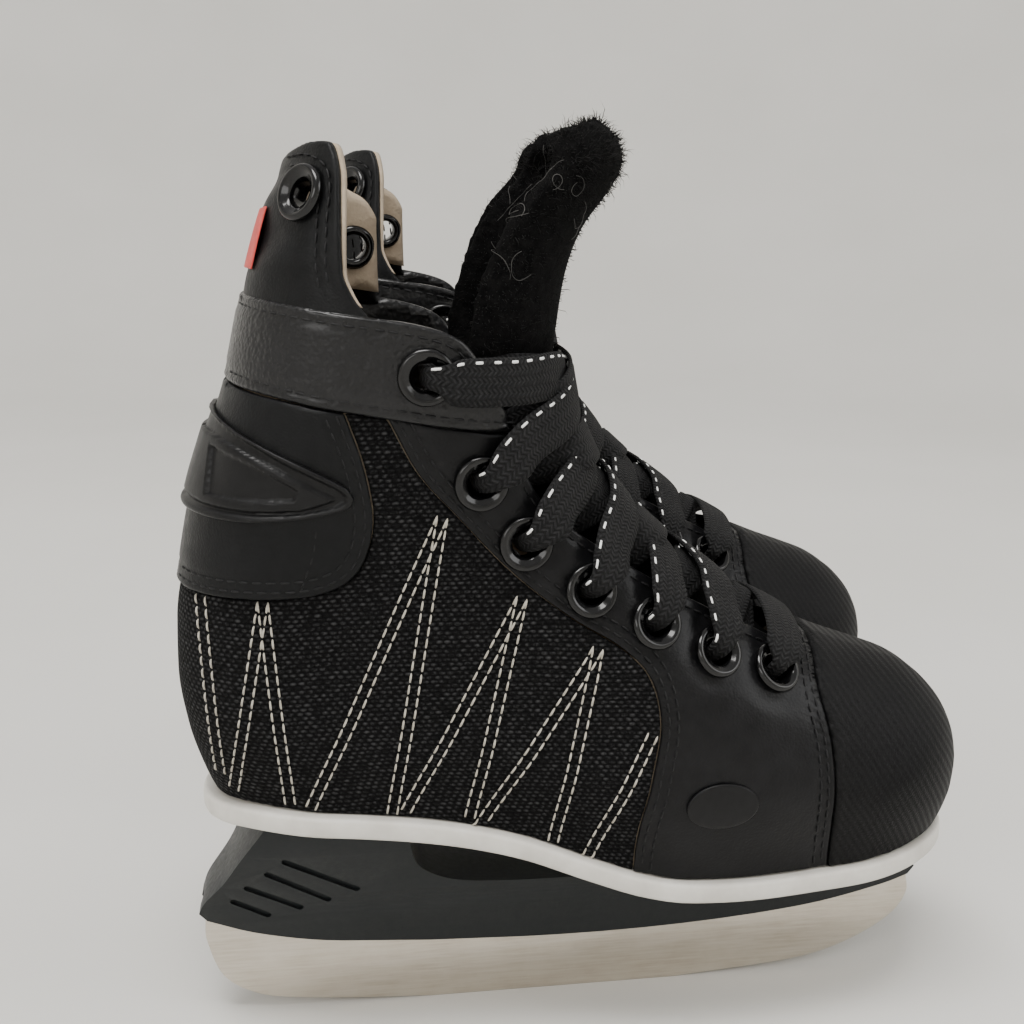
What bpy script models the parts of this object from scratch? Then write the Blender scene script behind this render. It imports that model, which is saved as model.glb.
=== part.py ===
"""A pair of child's lace-up hockey skates, standing side by side, toes along +X.

Lengths are in millimetres in the working functions and become metres in each mesh.
A skate is built in its own frame: x from the back of the heel to the toe, y across
(outer side of the right skate at -y, inner side of the left one), z up from the ice.
"""
import math

import bmesh
import bpy
import numpy as np

for old in list(bpy.data.objects):
    bpy.data.objects.remove(old, do_unlink=True)

# ---- driving dimensions, mm ----
PAIR_SPACING = 104.0        # between the two centre planes
STAGGER = 13.0              # the left skate stands this much further forward
CENTRE_X = 105.4            # of the pair, from the right heel
TOE_BEND = 3.0              # the toe swings to the inner side by this much
LEATHER = 1.6               # thickness of the outer panels
GAP = 0.3                   # air between separate pieces
LINING_OUT = -(LEATHER + GAP)
LINING_IN = LINING_OUT - 2.1
EYELET_R = 6.3
EYELET_HOLE_R = 3.7
EYELET_BORE_R = 2.7
LACE_WIDTH = 7.6
LACE_THICK = 1.2
HEEL_SEAM = 45.0            # the lining's heel pocket ends here
BLADE_THICK = 3.4
SOLE_THICK = 4.2
COLUMNS = 22                # round the boot
TOP_H = 148.0               # height of the boot surface above the ball of the sole

COLLECTION = bpy.data.collections.new("hockey_skates")
bpy.context.scene.collection.children.link(COLLECTION)
TOOLS = bpy.data.collections.new("cutters")
bpy.context.scene.collection.children.link(TOOLS)


# ---- curves ----
def curve(points):
    """A smooth monotone curve through (t, value) points."""
    t = np.array([p[0] for p in points], float)
    v = np.array([p[1] for p in points], float)
    h = np.diff(t)
    d = np.diff(v) / h
    m = np.zeros(len(t))
    m[0] = d[0]
    m[-1] = d[-1]
    for i in range(1, len(t) - 1):
        if d[i - 1] * d[i] > 0:
            w1 = 2 * h[i] + h[i - 1]
            w2 = h[i] + 2 * h[i - 1]
            m[i] = (w1 + w2) / (w1 / d[i - 1] + w2 / d[i])

    def value(q):
        q = np.clip(np.asarray(q, float), t[0], t[-1])
        i = np.clip(np.searchsorted(t, q) - 1, 0, len(t) - 2)
        s = (q - t[i]) / h[i]
        a = 2 * s**3 - 3 * s**2 + 1
        b = s**3 - 2 * s**2 + s
        c = -2 * s**3 + 3 * s**2
        e = s**3 - s**2
        return a * v[i] + b * h[i] * m[i] + c * v[i + 1] + e * h[i] * m[i + 1]

    return value


def smooth(a, b, q):
    s = np.clip((np.asarray(q, float) - a) / (b - a), 0, 1)
    return s * s * (3 - 2 * s)


def spline(points, n):
    """A smooth open curve through 2-D points, n steps to each stretch."""
    p = np.array(points, float)
    q = np.vstack([2 * p[0] - p[1], p, 2 * p[-1] - p[-2]])
    out = []
    for i in range(len(p) - 1):
        a, b, c, d = q[i:i + 4]
        for k in range(n):
            s = k / n
            out.append(0.5 * (2 * b + (c - a) * s + (2 * a - 5 * b + 4 * c - d) * s**2
                              + (3 * b - a - 3 * c + d) * s**3))
    out.append(p[-1])
    return np.array(out)


def shifted(points, d):
    """An open curve moved sideways by d, to the left of its direction."""
    p = np.array(points, float)
    t = np.gradient(p, axis=0)
    t /= np.linalg.norm(t, axis=1)[:, None]
    return p + d * np.column_stack([-t[:, 1], t[:, 0]])


# ---- the boot's form ----
HEEL = curve([(58, 9.5), (68, 5), (80, 1.6), (93, 0), (106, 0.4), (120, 2.8), (135, 6), (148, 10.2),
              (160, 14.6), (178, 19), (190, 22.2), (203, 26.6), (214, 31.5)])
RIDGE = curve([(40, 192), (44, 194.4), (49, 196), (55, 196.8), (61, 196.4), (68, 194.4), (75, 190.8),
               (81, 185.6), (86, 179), (89.5, 171), (93.5, 161), (101, 145.5), (112, 128.5),
               (123, 114.5), (133, 105), (144, 98), (155, 94), (168, 92), (192, 91)])
SOLE_TOP = curve([(-8, 62.5), (6, 62.8), (18, 64.2), (36, 62.6), (52, 60.6), (66, 58.4), (80, 55),
                  (96, 49.2), (108, 45.2), (120, 42.8), (134, 42.2), (155, 42.6), (178, 43.6),
                  (202, 45.4)])
LOW_WIDTH = curve([(0, 26.6), (25, 26.8), (50, 26.4), (75, 28), (95, 31), (115, 33.8), (135, 34.2),
                   (155, 33), (175, 31), (200, 28)])
ANKLE_WIDTH = 30.0


def boundary(profile, low, high):
    z = np.linspace(low, high, 260)
    return np.column_stack([profile(z), z])


HEEL_LINE = boundary(HEEL, 58, 214)
RIDGE_LINE = boundary(RIDGE, 40, 192)


def nearest(line, x, z):
    """Distance from each point to a boundary line, and the line's height there."""
    shape = np.shape(x)
    q = np.column_stack([np.ravel(x), np.ravel(z)])
    a = line[:-1]
    s = line[1:] - a
    t = ((q[:, None, :] - a[None]) * s[None]).sum(2) / (s * s).sum(1)[None]
    t = np.clip(t, 0, 1)
    gap = np.linalg.norm(q[:, None, :] - a[None] - t[..., None] * s[None], axis=2)
    k = gap.argmin(1)
    rows = np.arange(len(q))
    return gap[rows, k].reshape(shape), (a[k, 1] + t[rows, k] * s[k, 1]).reshape(shape)


def base_width(x, z):
    low = LOW_WIDTH(x) * (0.87 + 0.13 * smooth(0, 24, z - SOLE_TOP(x)))
    k = smooth(112, 160, z)
    return low * (1 - k) + ANKLE_WIDTH * k


def round_depth(zr):
    """Depth and power of the rounding next to the ridge, by the ridge's height."""
    k = smooth(74, 96, zr)
    return 30 + 4 * k, 2.35 - 0.35 * k


def half_width(x, z):
    dh, _ = nearest(HEEL_LINE, x, z)
    df, zr = nearest(RIDGE_LINE, x, z)
    depth, power = round_depth(zr)
    u = 1 - np.clip(dh / 26.0, 0, 1)
    v = 1 - np.clip(df / depth, 0, 1)
    heel = np.sqrt(np.maximum(1 - u**2.1, 0))
    front = np.maximum(1 - v**power, 0) ** (1 / power)
    return base_width(x, z) * heel * front


def ring(h, columns=COLUMNS):
    """One level of the boot, h above the ball of the sole, as a closed loop."""
    a = -1 + 2 * np.arange(columns) / columns
    fade = 1 - smooth(0, 74, h)
    x = np.full(columns, 100.0)
    z = np.full(columns, 43.0 + h)
    rise = lambda q: (SOLE_TOP(q) - 43.0) * fade
    zb = 43.0 + h + rise(5.0)
    zf = 43.0 + h + rise(190.0)
    x = HEEL(zb) + (RIDGE(zf) - HEEL(zb)) * (1 - np.cos(math.pi * np.abs(a))) / 2
    z = 43.0 + h + rise(x)
    y = half_width(x, z) * np.sign(a)
    y[np.abs(np.abs(a) - 1) < 1e-9] = 0
    y[np.abs(a) < 1e-9] = 0
    return np.column_stack([x, y, z])


def levels():
    """Heights of the rings, even along the front ridge."""
    h = np.linspace(0, TOP_H, 400)
    p = np.column_stack([RIDGE(43 + h), 43 + h])
    s = np.concatenate([[0], np.cumsum(np.linalg.norm(np.diff(p, axis=0), axis=1))])
    s = s + 0.55 * h
    return np.interp(np.linspace(0, s[-1], 13), s, h)


GRID = np.array([ring(h) for h in levels()])


def grid_normals(g):
    along = np.roll(g, -1, axis=1) - np.roll(g, 1, axis=1)
    up = np.gradient(g, axis=0)
    n = np.cross(along, up)
    n /= np.linalg.norm(n, axis=2)[..., None] + 1e-12
    out = np.where((n * (g - g.mean(1, keepdims=True))).sum(2).mean() > 0, 1, -1)
    return n * out


NORMALS = grid_normals(GRID)


# ---- meshes ----
def material(name, colour, rough, metal=0.0):
    mat = bpy.data.materials.get(name)
    if mat is None:
        mat = bpy.data.materials.new(name)
        mat.use_nodes = True
        shader = mat.node_tree.nodes["Principled BSDF"]
        shader.inputs["Base Color"].default_value = (*colour, 1)
        shader.inputs["Roughness"].default_value = rough
        shader.inputs["Metallic"].default_value = metal
    return mat


def add(name, verts, faces, collection=COLLECTION, scale=0.001):
    mesh = bpy.data.meshes.new(name)
    mesh.from_pydata([tuple(v) for v in np.asarray(verts, float) * scale], [], faces)
    ob = bpy.data.objects.new(name, mesh)
    collection.objects.link(ob)
    bm = bmesh.new()
    bm.from_mesh(mesh)
    bmesh.ops.recalc_face_normals(bm, faces=bm.faces)
    bmesh.ops.triangulate(bm, faces=bm.faces, quad_method="FIXED")
    bm.to_mesh(mesh)
    bm.free()
    if collection is TOOLS:
        ob.hide_render = True
        ob.display_type = "WIRE"
    return ob


def tube(name, loops):
    """A closed body from a run of equal closed loops that come back to the first."""
    n = len(loops[0])
    verts = np.concatenate(loops)
    faces = []
    for r in range(len(loops)):
        s = (r + 1) % len(loops)
        for c in range(n):
            d = (c + 1) % n
            faces.append((r * n + c, r * n + d, s * n + d, s * n + c))
    return add(name, verts, faces)


def slab(name, upper, lower):
    """A closed body between two closed loops that mirror across the mid-plane."""
    n = len(upper)
    verts = np.concatenate([upper, lower])
    faces = []
    for c in range(n):
        d = (c + 1) % n
        faces.append((c, d, n + d, n + c))
    for base in (0, n):
        for c in range(n // 2):
            a, b = c, c + 1
            e, f = (n - c) % n, n - c - 1
            loop = [base + a, base + b, base + f, base + e]
            loop = list(dict.fromkeys(loop))
            if len(loop) > 2:
                faces.append(tuple(loop))
    return add(name, verts, faces)


def sheet(name, outer, inner):
    """A closed body between two equal rectangular grids of points."""
    rows, cols = outer.shape[:2]
    verts = np.concatenate([outer.reshape(-1, 3), inner.reshape(-1, 3)])
    k = rows * cols
    faces = []
    for r in range(rows - 1):
        for c in range(cols - 1):
            a = r * cols + c
            faces.append((a, a + 1, a + cols + 1, a + cols))
            faces.append((k + a, k + a + cols, k + a + cols + 1, k + a + 1))
    edge = [c for c in range(cols)]
    edge += [r * cols + cols - 1 for r in range(1, rows)]
    edge += [(rows - 1) * cols + c for c in range(cols - 2, -1, -1)]
    edge += [r * cols for r in range(rows - 2, 0, -1)]
    for i, a in enumerate(edge):
        b = edge[(i + 1) % len(edge)]
        faces.append((a, b, k + b, k + a))
    return add(name, verts, faces)


def prism(outline, low=-60.0, high=60.0):
    """A cutter: an outline in the side view, carried through from low to high y."""
    p = np.asarray(outline, float)
    n = len(p)
    front = np.column_stack([p[:, 0], np.full(n, low), p[:, 1]])
    back = np.column_stack([p[:, 0], np.full(n, high), p[:, 1]])
    faces = [tuple(range(n)), tuple(range(2 * n - 1, n - 1, -1))]
    for i in range(n):
        j = (i + 1) % n
        faces.append((i, j, n + j, n + i))
    return add("cutter", np.concatenate([front, back]), faces, TOOLS)


def rod(point, direction, radius, low, high, sides=10):
    """A cutter: a round rod along a direction through a point."""
    d = np.asarray(direction, float)
    d = d / np.linalg.norm(d)
    u = np.cross(d, [0, 0, 1.0])
    u /= np.linalg.norm(u)
    v = np.cross(d, u)
    t = 2 * math.pi * np.arange(sides) / sides
    circle = radius * (np.cos(t)[:, None] * u + np.sin(t)[:, None] * v)
    verts = np.concatenate([point + low * d + circle, point + high * d + circle])
    faces = [tuple(range(sides)), tuple(range(2 * sides - 1, sides - 1, -1))]
    for i in range(sides):
        j = (i + 1) % sides
        faces.append((i, j, sides + j, sides + i))
    return add("cutter", verts, faces, TOOLS)


def cut(ob, cutter, operation):
    step = ob.modifiers.new("cut", "BOOLEAN")
    step.operation = operation
    step.solver = "EXACT"
    step.object = cutter
    bpy.context.view_layer.update()
    graph = bpy.context.evaluated_depsgraph_get()
    mesh = bpy.data.meshes.new_from_object(ob.evaluated_get(graph))
    ob.modifiers.clear()
    ob.data = mesh
    bm = bmesh.new()
    bm.from_mesh(mesh)
    bmesh.ops.remove_doubles(bm, verts=bm.verts, dist=2e-6)
    bmesh.ops.dissolve_degenerate(bm, dist=2e-6, edges=bm.edges)
    bmesh.ops.dissolve_limit(bm, angle_limit=0.004, verts=bm.verts, edges=bm.edges)
    bmesh.ops.triangulate(bm, faces=bm.faces)
    bm.to_mesh(mesh)
    bm.free()
    return ob


def layer(name, low, high):
    """The whole boot surface as a closed layer between two offsets."""
    rows, cols = GRID.shape[:2]
    verts = np.concatenate([(GRID + low * NORMALS).reshape(-1, 3),
                            (GRID + high * NORMALS).reshape(-1, 3)])
    k = rows * cols
    faces = []
    for c in range(cols):
        d = (c + 1) % cols
        for base in (0, k):
            for r in range(rows - 1):
                a = base + r * cols
                faces.append((a + c, a + d, a + cols + d))
                faces.append((a + c, a + cols + d, a + cols + c))
        for a in (0, k - cols):
            faces.append((a + c, a + d, k + a + d))
            faces.append((a + c, k + a + d, k + a + c))
    return add(name, verts, faces)


# ---- the ridge frame: s along the instep, angle round it, height off the surface ----
RIDGE_Z = np.linspace(84, 190, 400)
RIDGE_P = np.column_stack([RIDGE(RIDGE_Z), RIDGE_Z])
RIDGE_S = np.concatenate([[0], np.cumsum(np.linalg.norm(np.diff(RIDGE_P, axis=0), axis=1))])
INSTEP_DEPTH = 34.0


def on_ridge(s, angle, off):
    """The point at arc length s and angle (radians) round the instep, off the surface."""
    s = np.asarray(s, float)
    p = np.column_stack([np.interp(s, RIDGE_S, RIDGE_P[:, i]) for i in (0, 1)])
    a = np.column_stack([np.interp(s + 4, RIDGE_S, RIDGE_P[:, i]) for i in (0, 1)])
    b = np.column_stack([np.interp(s - 4, RIDGE_S, RIDGE_P[:, i]) for i in (0, 1)])
    t = a - b
    t /= np.linalg.norm(t, axis=1)[:, None]
    inward = np.column_stack([-t[:, 1], t[:, 0]])
    depth = -off + (INSTEP_DEPTH + off) * (1 - np.cos(angle))
    q = p + inward * depth[:, None]
    at = p + inward * np.maximum(depth, 0)[:, None]
    y = (base_width(at[:, 0], at[:, 1]) + off) * np.sin(angle)
    return np.column_stack([q[:, 0], y, q[:, 1]])


def ridge_place(x, z):
    """Arc length and angle of the surface point seen at (x, z) from the side."""
    gap = np.hypot(RIDGE_P[:, 0] - x, RIDGE_P[:, 1] - z)
    k = int(gap.argmin())
    return RIDGE_S[k], math.acos(max(-1.0, 1 - gap[k] / INSTEP_DEPTH))


def surface_at(x, z, side):
    """Surface point and outward normal at (x, z), on the -y or +y side."""
    y = float(half_width(np.array([x]), np.array([z]))[0])
    e = 1.5
    wx = (half_width(np.array([x + e]), np.array([z])) - half_width(np.array([x - e]), np.array([z]))) / (2 * e)
    wz = (half_width(np.array([x]), np.array([z + e])) - half_width(np.array([x]), np.array([z - e]))) / (2 * e)
    n = np.array([-float(wx[0]), side, -float(wz[0])])
    return np.array([x, side * y, z]), n / np.linalg.norm(n)


# ---- outlines in the side view ----
BAND_TOP = spline([(-14, 183), (20, 181), (41, 178.4), (57, 175.8), (66, 172.4), (71, 166)], 2)
BAND_FRONT = spline([(71, 166), (75, 158.5), (77.5, 151.6)], 1)
BAND_BOTTOM = spline([(77.5, 151.6), (61, 154), (40, 157.8), (20, 161.4), (-14, 165)], 2)
COUNTER_EDGE = spline([(41, 157.6), (45, 145), (46.6, 132), (43, 121.5), (34, 116.6), (17, 115.8),
                       (-14, 115)], 2)
FACING_EDGE = spline([(50, 156.1), (56.5, 143.5), (65, 133.5), (77, 120.5), (90, 110), (102, 102.4),
                      (108.6, 95), (110.8, 84), (109, 70), (106.5, 55), (106, 36)], 2)
# the plain oval pad on each side of the forefoot: centre (x, z) and half its width and height
EMBLEM_AT, EMBLEM_WIDE, EMBLEM_TALL, EMBLEM_SIDES = (126.0, 63.5), 8.6, 5.8, 20
TOE_SEAM = spline([(156, 104), (155, 97), (152.6, 88), (154, 76), (154.6, 60), (155.4, 36)], 1)
THROAT = spline([(71, 166), (77.5, 151.6), (81, 142), (87, 133.2), (99.5, 123.4), (114, 114.2),
                 (129, 105.6), (138, 101), (145.5, 97.6), (150.5, 98.4), (152.5, 104)], 2)
LINING_EDGE = spline([(-14, 183), (20, 181), (41, 178.2), (47, 172), (52, 156), (63, 137), (80, 118),
                      (100, 103), (124, 91), (141, 84.6), (151, 88), (154, 97), (160, 108)], 1)
EYELETS = [(58.4, 165), (70.2, 141.2), (80.2, 127), (95, 115.5), (110.2, 107), (125.4, 98.8),
           (140.8, 92.8)]
EAR_EYELETS = {-1: (33.6, 203), 1: (45.0, 189.6)}


def joined(*runs):
    return np.concatenate([np.asarray(r, float) for r in runs])


def region(ob, outline):
    return cut(ob, prism(outline), "INTERSECT")


def under_band(x):
    """The point just below the ankle band's lower edge at x."""
    return x, float(np.interp(x, BAND_BOTTOM[::-1, 0], BAND_BOTTOM[::-1, 1])) - GAP


def build_panels(tag):
    parts = {}
    g = GAP / 2
    above = joined([(-40, 184)], LINING_EDGE, [(170, 240), (-40, 240)])
    for word, back, front, low, high in (("heel", -40, HEEL_SEAM - g, -60, 60),
                                         ("outer", HEEL_SEAM + g, 240, -60, -g),
                                         ("inner", HEEL_SEAM + g, 240, g, 60)):
        lining = cut(layer(tag + "lining_" + word, LINING_IN, LINING_OUT), prism(above), "DIFFERENCE")
        block = [(back, 20), (front, 20), (front, 250), (back, 250)]
        parts["lining_" + word] = cut(lining, prism(block, low, high), "INTERSECT")
    outline = joined(BAND_TOP, BAND_FRONT[1:], BAND_BOTTOM[1:])
    parts["ankle_band"] = region(layer(tag + "ankle_band", -LEATHER, 0.9), outline)
    edge = shifted(COUNTER_EDGE, -g)
    top = [under_band(x) for x in (-14, 12, 28, edge[0, 0])]
    parts["heel_counter"] = region(layer(tag + "heel_counter", -LEATHER, 0.6), joined(top, edge[1:]))
    facing = shifted(FACING_EDGE, -g)
    edge = shifted(COUNTER_EDGE, g)
    top = [under_band(x) for x in (edge[0, 0], facing[0, 0])]
    outline = joined(edge[1:][::-1], top, facing[1:], [(-14, 36)])
    parts["side_fabric"] = region(layer(tag + "side_fabric", -LEATHER, -0.7), outline)
    facing = shifted(FACING_EDGE, g)
    toe = shifted(TOE_SEAM, -g)
    top = [under_band(x) for x in (facing[0, 0], 61, 69, 76.8)]
    throat = THROAT[THROAT[:, 1] < 150.8]
    outline = joined(top, throat, toe[toe[:, 1] < 103], facing[1:][::-1])
    for word, side in (("outer", -1), ("inner", 1)):
        low, high = (-60, -0.15) if side < 0 else (0.15, 60)
        vamp = layer(tag + "vamp_" + word, -LEATHER, 0)
        parts["vamp_" + word] = cut(vamp, prism(outline, low, high), "INTERSECT")
    toe = shifted(TOE_SEAM, g)
    outline = joined(toe, [(215, 36), (215, 120), (157, 120)])
    parts["toe_cap"] = region(layer(tag + "toe_cap", -LEATHER, 0.5), outline)
    badge = joined(spline([(-14, 160), (8, 157), (16, 153.6), (33, 146), (41, 141.6)], 1),
                   spline([(42.6, 139), (40, 136.6), (23, 133.9), (8, 133.4), (-14, 133.4)], 1))
    parts["heel_badge"] = region(layer(tag + "heel_badge", 0.6 + GAP, 1.9), badge)
    turns = np.linspace(0, 2 * math.pi, EMBLEM_SIDES, endpoint=False)
    emblem = np.column_stack([EMBLEM_AT[0] + EMBLEM_WIDE * np.cos(turns),
                              EMBLEM_AT[1] + EMBLEM_TALL * np.sin(turns)])
    for word, side in (("outer", -1), ("inner", 1)):
        low, high = (-60, -0.15) if side < 0 else (0.15, 60)
        plate = cut(layer(tag + "emblem_" + word, GAP, 1.3), prism(emblem, low, high), "INTERSECT")
        parts["emblem_" + word] = plate
    return parts


def offset_loop(h, off):
    base = ring(h)
    wide = ring(h + 3.0)
    n = grid_normals(np.array([base, wide]))[0]
    n[:, 2] = 0
    n /= np.linalg.norm(n, axis=1)[:, None]
    return base + off * n


def build_bottom(tag):
    parts = {}
    top = offset_loop(0.0, 1.4)
    low = top.copy()
    top[:, 2] -= GAP
    low[:, 2] -= GAP + SOLE_THICK
    mid = offset_loop(0.0, 2.2)
    mid[:, 2] -= GAP + SOLE_THICK * 0.5
    n = len(top)
    verts = np.concatenate([top, mid, low])
    faces = []
    for r in (0, 1):
        for c in range(n):
            d = (c + 1) % n
            faces.append((r * n + c, r * n + d, (r + 1) * n + d, (r + 1) * n + c))
    for base in (0, 2 * n):
        for c in range(n // 2):
            loop = [base + c, base + c + 1, base + n - c - 1, base + (n - c) % n]
            loop = list(dict.fromkeys(loop))
            faces.append(tuple(loop))
    parts["sole"] = add(tag + "sole", verts, faces)
    board = offset_loop(3.6, LINING_IN - 0.9)
    under = offset_loop(0.4, LINING_IN - 0.9)
    parts["insole"] = slab(tag + "insole", board, under)

    def under_sole(x):
        return SOLE_TOP(x) - SOLE_THICK - 2 * GAP - 0.6

    rear = spline([(20, 57), (14, 48.5), (9.5, 41), (4.4, 34.6), (2.8, 31)], 2)
    foot = spline([(4.6, 28.6), (15.6, 24), (30, 20.6), (45, 19), (65, 17.7), (92, 16.8), (115, 17),
                   (135, 18), (152, 19.6), (165, 21.7), (178.5, 25.3), (185, 28)], 1)
    nose = [(186.3, 30.6), (183.4, 34.6), (180.4, 38.6)]
    roof = [(x, float(under_sole(x))) for x in range(178, 106, -6)]
    gap = spline([(109, 39.6), (103.5, 36.6), (97, 35.3), (78, 35.6), (66, 37), (58.6, 40.6),
                  (55.2, 45.2), (53.4, 54.6)], 2)
    back = [(x, float(under_sole(x))) for x in range(49, 20, -6)]
    outline = joined(rear, foot, nose, roof, gap, back)
    section = spline([(4.6, 12), (5.4, 22), (7.6, 31), (12.4, 42), (16.4, 52), (18.4, 66)], 1)
    n = len(section)
    verts = []
    for x in (-20.0, 210.0):
        verts += [(x, -w, z) for w, z in section]
        verts += [(x, w, z) for w, z in section[::-1]]
    m = 2 * n
    faces = [tuple(range(m)), tuple(range(2 * m - 1, m - 1, -1))]
    for i in range(m):
        j = (i + 1) % m
        faces.append((i, j, m + j, m + i))
    holder = add(tag + "blade_holder", verts, faces)
    holder = cut(holder, prism(outline), "INTERSECT")
    edge = joined(spline([(3.6, 26), (3.8, 20), (7.6, 10), (16, 4.4), (27, 2.3), (42, 1), (60, 0)], 2),
                  spline([(124, 0), (144, 1.4), (157, 2.7), (167, 5), (177, 9.4), (184, 14.4),
                          (187.4, 20), (187, 25)], 2))
    top = [(180, 30.6), (165, 27), (150, 25), (115, 22.2), (92, 22), (60, 23), (30, 26), (10, 31)]
    blade = joined(edge, top)
    half = BLADE_THICK / 2
    slot = prism(joined([(-5, 15)], [(193, 15)], [(193, 34)], shifted(top, -0.4)[1:-1], [(-5, 35)]),
                 -half - GAP, half + GAP)
    parts["blade_holder"] = cut(holder, slot, "DIFFERENCE")
    p = np.asarray(blade)
    k = len(p)
    verts = np.concatenate([np.column_stack([p[:, 0], np.full(k, -half), p[:, 1]]),
                            np.column_stack([p[:, 0], np.full(k, half), p[:, 1]])])
    faces = [tuple(range(k)), tuple(range(2 * k - 1, k - 1, -1))]
    for i in range(k):
        j = (i + 1) % k
        faces.append((i, j, k + j, k + i))
    parts["blade"] = add(tag + "blade", verts, faces)
    return parts


# ---- the tongue ----
TONGUE_S0 = ridge_place(RIDGE(95.2), 95.2)[0]
HINGE_Z = 167.0
HINGE_X = 90.6
TONGUE_S1 = ridge_place(RIDGE(HINGE_Z - 0.6), HINGE_Z - 0.6)[0]
UNDER = -6.4                # the tongue's outer face under the facings
THROAT_PLACES = [ridge_place(x, z) for x, z in THROAT[THROAT[:, 1] > 97.5][4:-3]]
THROAT_PLACES = sorted(THROAT_PLACES)


def throat_angle(s):
    """The angle round the instep at which the facings end."""
    return np.interp(s, [p[0] for p in THROAT_PLACES], [p[1] for p in THROAT_PLACES])


def tongue_off(s, angle):
    """How far the tongue's outer face lies off the boot surface."""
    edge = throat_angle(s)
    k = np.clip(np.abs(angle) / (0.8 * edge), 0, 1)
    start = smooth(4, 22, s - TONGUE_S0)
    return UNDER + start * 4.6 * (0.5 + 0.5 * np.cos(math.pi * k))


def build_tongue(tag):
    parts = {}
    s = np.linspace(TONGUE_S0, TONGUE_S1, 10)
    angles = np.linspace(-1, 1, 9)
    outer = []
    inner = []
    for i, q in enumerate(s):
        reach = 0.95 + 0.27 * smooth(0, 45, q - s[0])
        lean = 0.0
        if i == len(s) - 1:
            lean = 1.0
        a = angles * reach
        o = tongue_off(q, a)
        drop = lean * 5.0 * (1 - np.cos(a)) / (1 - math.cos(1.2))
        outer.append(on_ridge(q - drop, a, o))
        inner.append(on_ridge(q - drop, a, np.full(9, UNDER - 2.8)))
    parts["tongue_base"] = sheet(tag + "tongue_base", np.array(outer), np.array(inner))

    front = spline([(90.4, 167.6), (91.8, 177), (93.8, 186), (98.2, 195), (103.8, 203),
                    (106.8, 209.4), (104.6, 215)], 1)
    depth = curve([(0, 22.5), (0.35, 21), (0.6, 17.5), (0.8, 13.5), (1, 9.5)])
    outer = []
    inner = []
    count = len(front)
    tangent = np.gradient(front, axis=0)
    tangent /= np.linalg.norm(tangent, axis=1)[:, None]
    for i, p in enumerate(front):
        k = i / (count - 1)
        inward = np.array([-tangent[i][1], tangent[i][0]])
        back = np.array([-1.0, 0.0]) * (1 - 0.35 * k) + inward * 0.35 * k
        back /= np.linalg.norm(back)
        tip = smooth(0.72, 1.0, k)
        reach = 1.22 * math.sqrt(max(1 - (0.82 * tip) ** 2, 0))
        a = angles * reach
        fall = depth(k) * (1 - np.cos(a)) / (1 - math.cos(1.22))
        width = (25.6 - 1.6 * k) * np.sin(a)
        thick = 3.4 + 4.2 * smooth(0.1, 0.9, k)
        q = p + fall[:, None] * back
        drop = np.zeros(9)
        if i == 0:
            drop = -2.2 * (1 - np.cos(a)) / (1 - math.cos(1.22))
        outer.append(np.column_stack([q[:, 0], width, q[:, 1] + 0.25 - drop]))
        u = q + np.outer(np.cos(a), inward) * thick
        outer_y = width - np.sin(a) * thick * 0.8
        inner.append(np.column_stack([u[:, 0], outer_y, u[:, 1] + 0.25 - drop]))
    parts["tongue_top"] = sheet(tag + "tongue_top", np.array(outer), np.array(inner))
    return parts


# ---- the tendon guard, its two sides set differently as it slumps ----
GUARD_FRONT = {-1: curve([(177, 47), (182, 43.4), (187, 41.6), (195, 41.6), (203, 42), (214, 42)]),
               1: curve([(172, 52), (178, 50.6), (186, 50), (194, 50), (214, 49)])}
GUARD_TOP = {-1: curve([(0, 210.5), (0.3, 212), (0.62, 213.4), (0.8, 212.6), (0.92, 210), (1, 205.4)]),
             1: curve([(0, 210.5), (0.3, 209.6), (0.6, 206), (0.85, 200.6), (0.94, 197.6), (1, 194)])}
GUARD_FOOT = curve([(0, 181.9), (30, 180.8), (41, 179.5), (56, 177.2)])


def build_guard(tag):
    parts = {}
    us = np.linspace(-1, 1, 15)
    rows = 5
    grid = np.zeros((rows, len(us), 3))
    for c, u in enumerate(us):
        side = -1 if u < 0 else 1
        k = 1 - math.cos(math.pi * abs(u) / 2)
        top = float(GUARD_TOP[side](abs(u)))
        foot = 181.6
        for _ in range(4):
            x = float(HEEL(foot)) + (float(GUARD_FRONT[side](foot)) - float(HEEL(foot))) * k
            foot = float(GUARD_FOOT(x))
        for r in range(rows):
            z = foot + (top - foot) * r / (rows - 1)
            xb = float(HEEL(z))
            x = xb + (float(GUARD_FRONT[side](z)) - xb) * k
            y = side * float(half_width(np.array([x]), np.array([z]))[0]) * (1 - 0.03 * r / rows)
            grid[r, c] = (x, y, z)
    along = np.gradient(grid, axis=1)
    up = np.gradient(grid, axis=0)
    n = np.cross(along, up)
    n /= np.linalg.norm(n, axis=2)[..., None]
    if n[3, 7, 0] > 0:
        n = -n
    n[0, :, 2] = 0
    parts["guard_shell"] = sheet(tag + "guard_shell", grid, grid - LEATHER * n)
    parts["guard_lining"] = sheet(tag + "guard_lining", grid + LINING_OUT * n,
                                  grid + (LINING_OUT - 1.7) * n)
    for side in (-1, 1):
        x, z = EAR_EYELETS[side]
        p, d = surface_at(x, z, side)
        for name in ("guard_shell", "guard_lining"):
            cut(parts[name], rod(p, d, EYELET_HOLE_R, -12, 6), "DIFFERENCE")
    return parts


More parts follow.
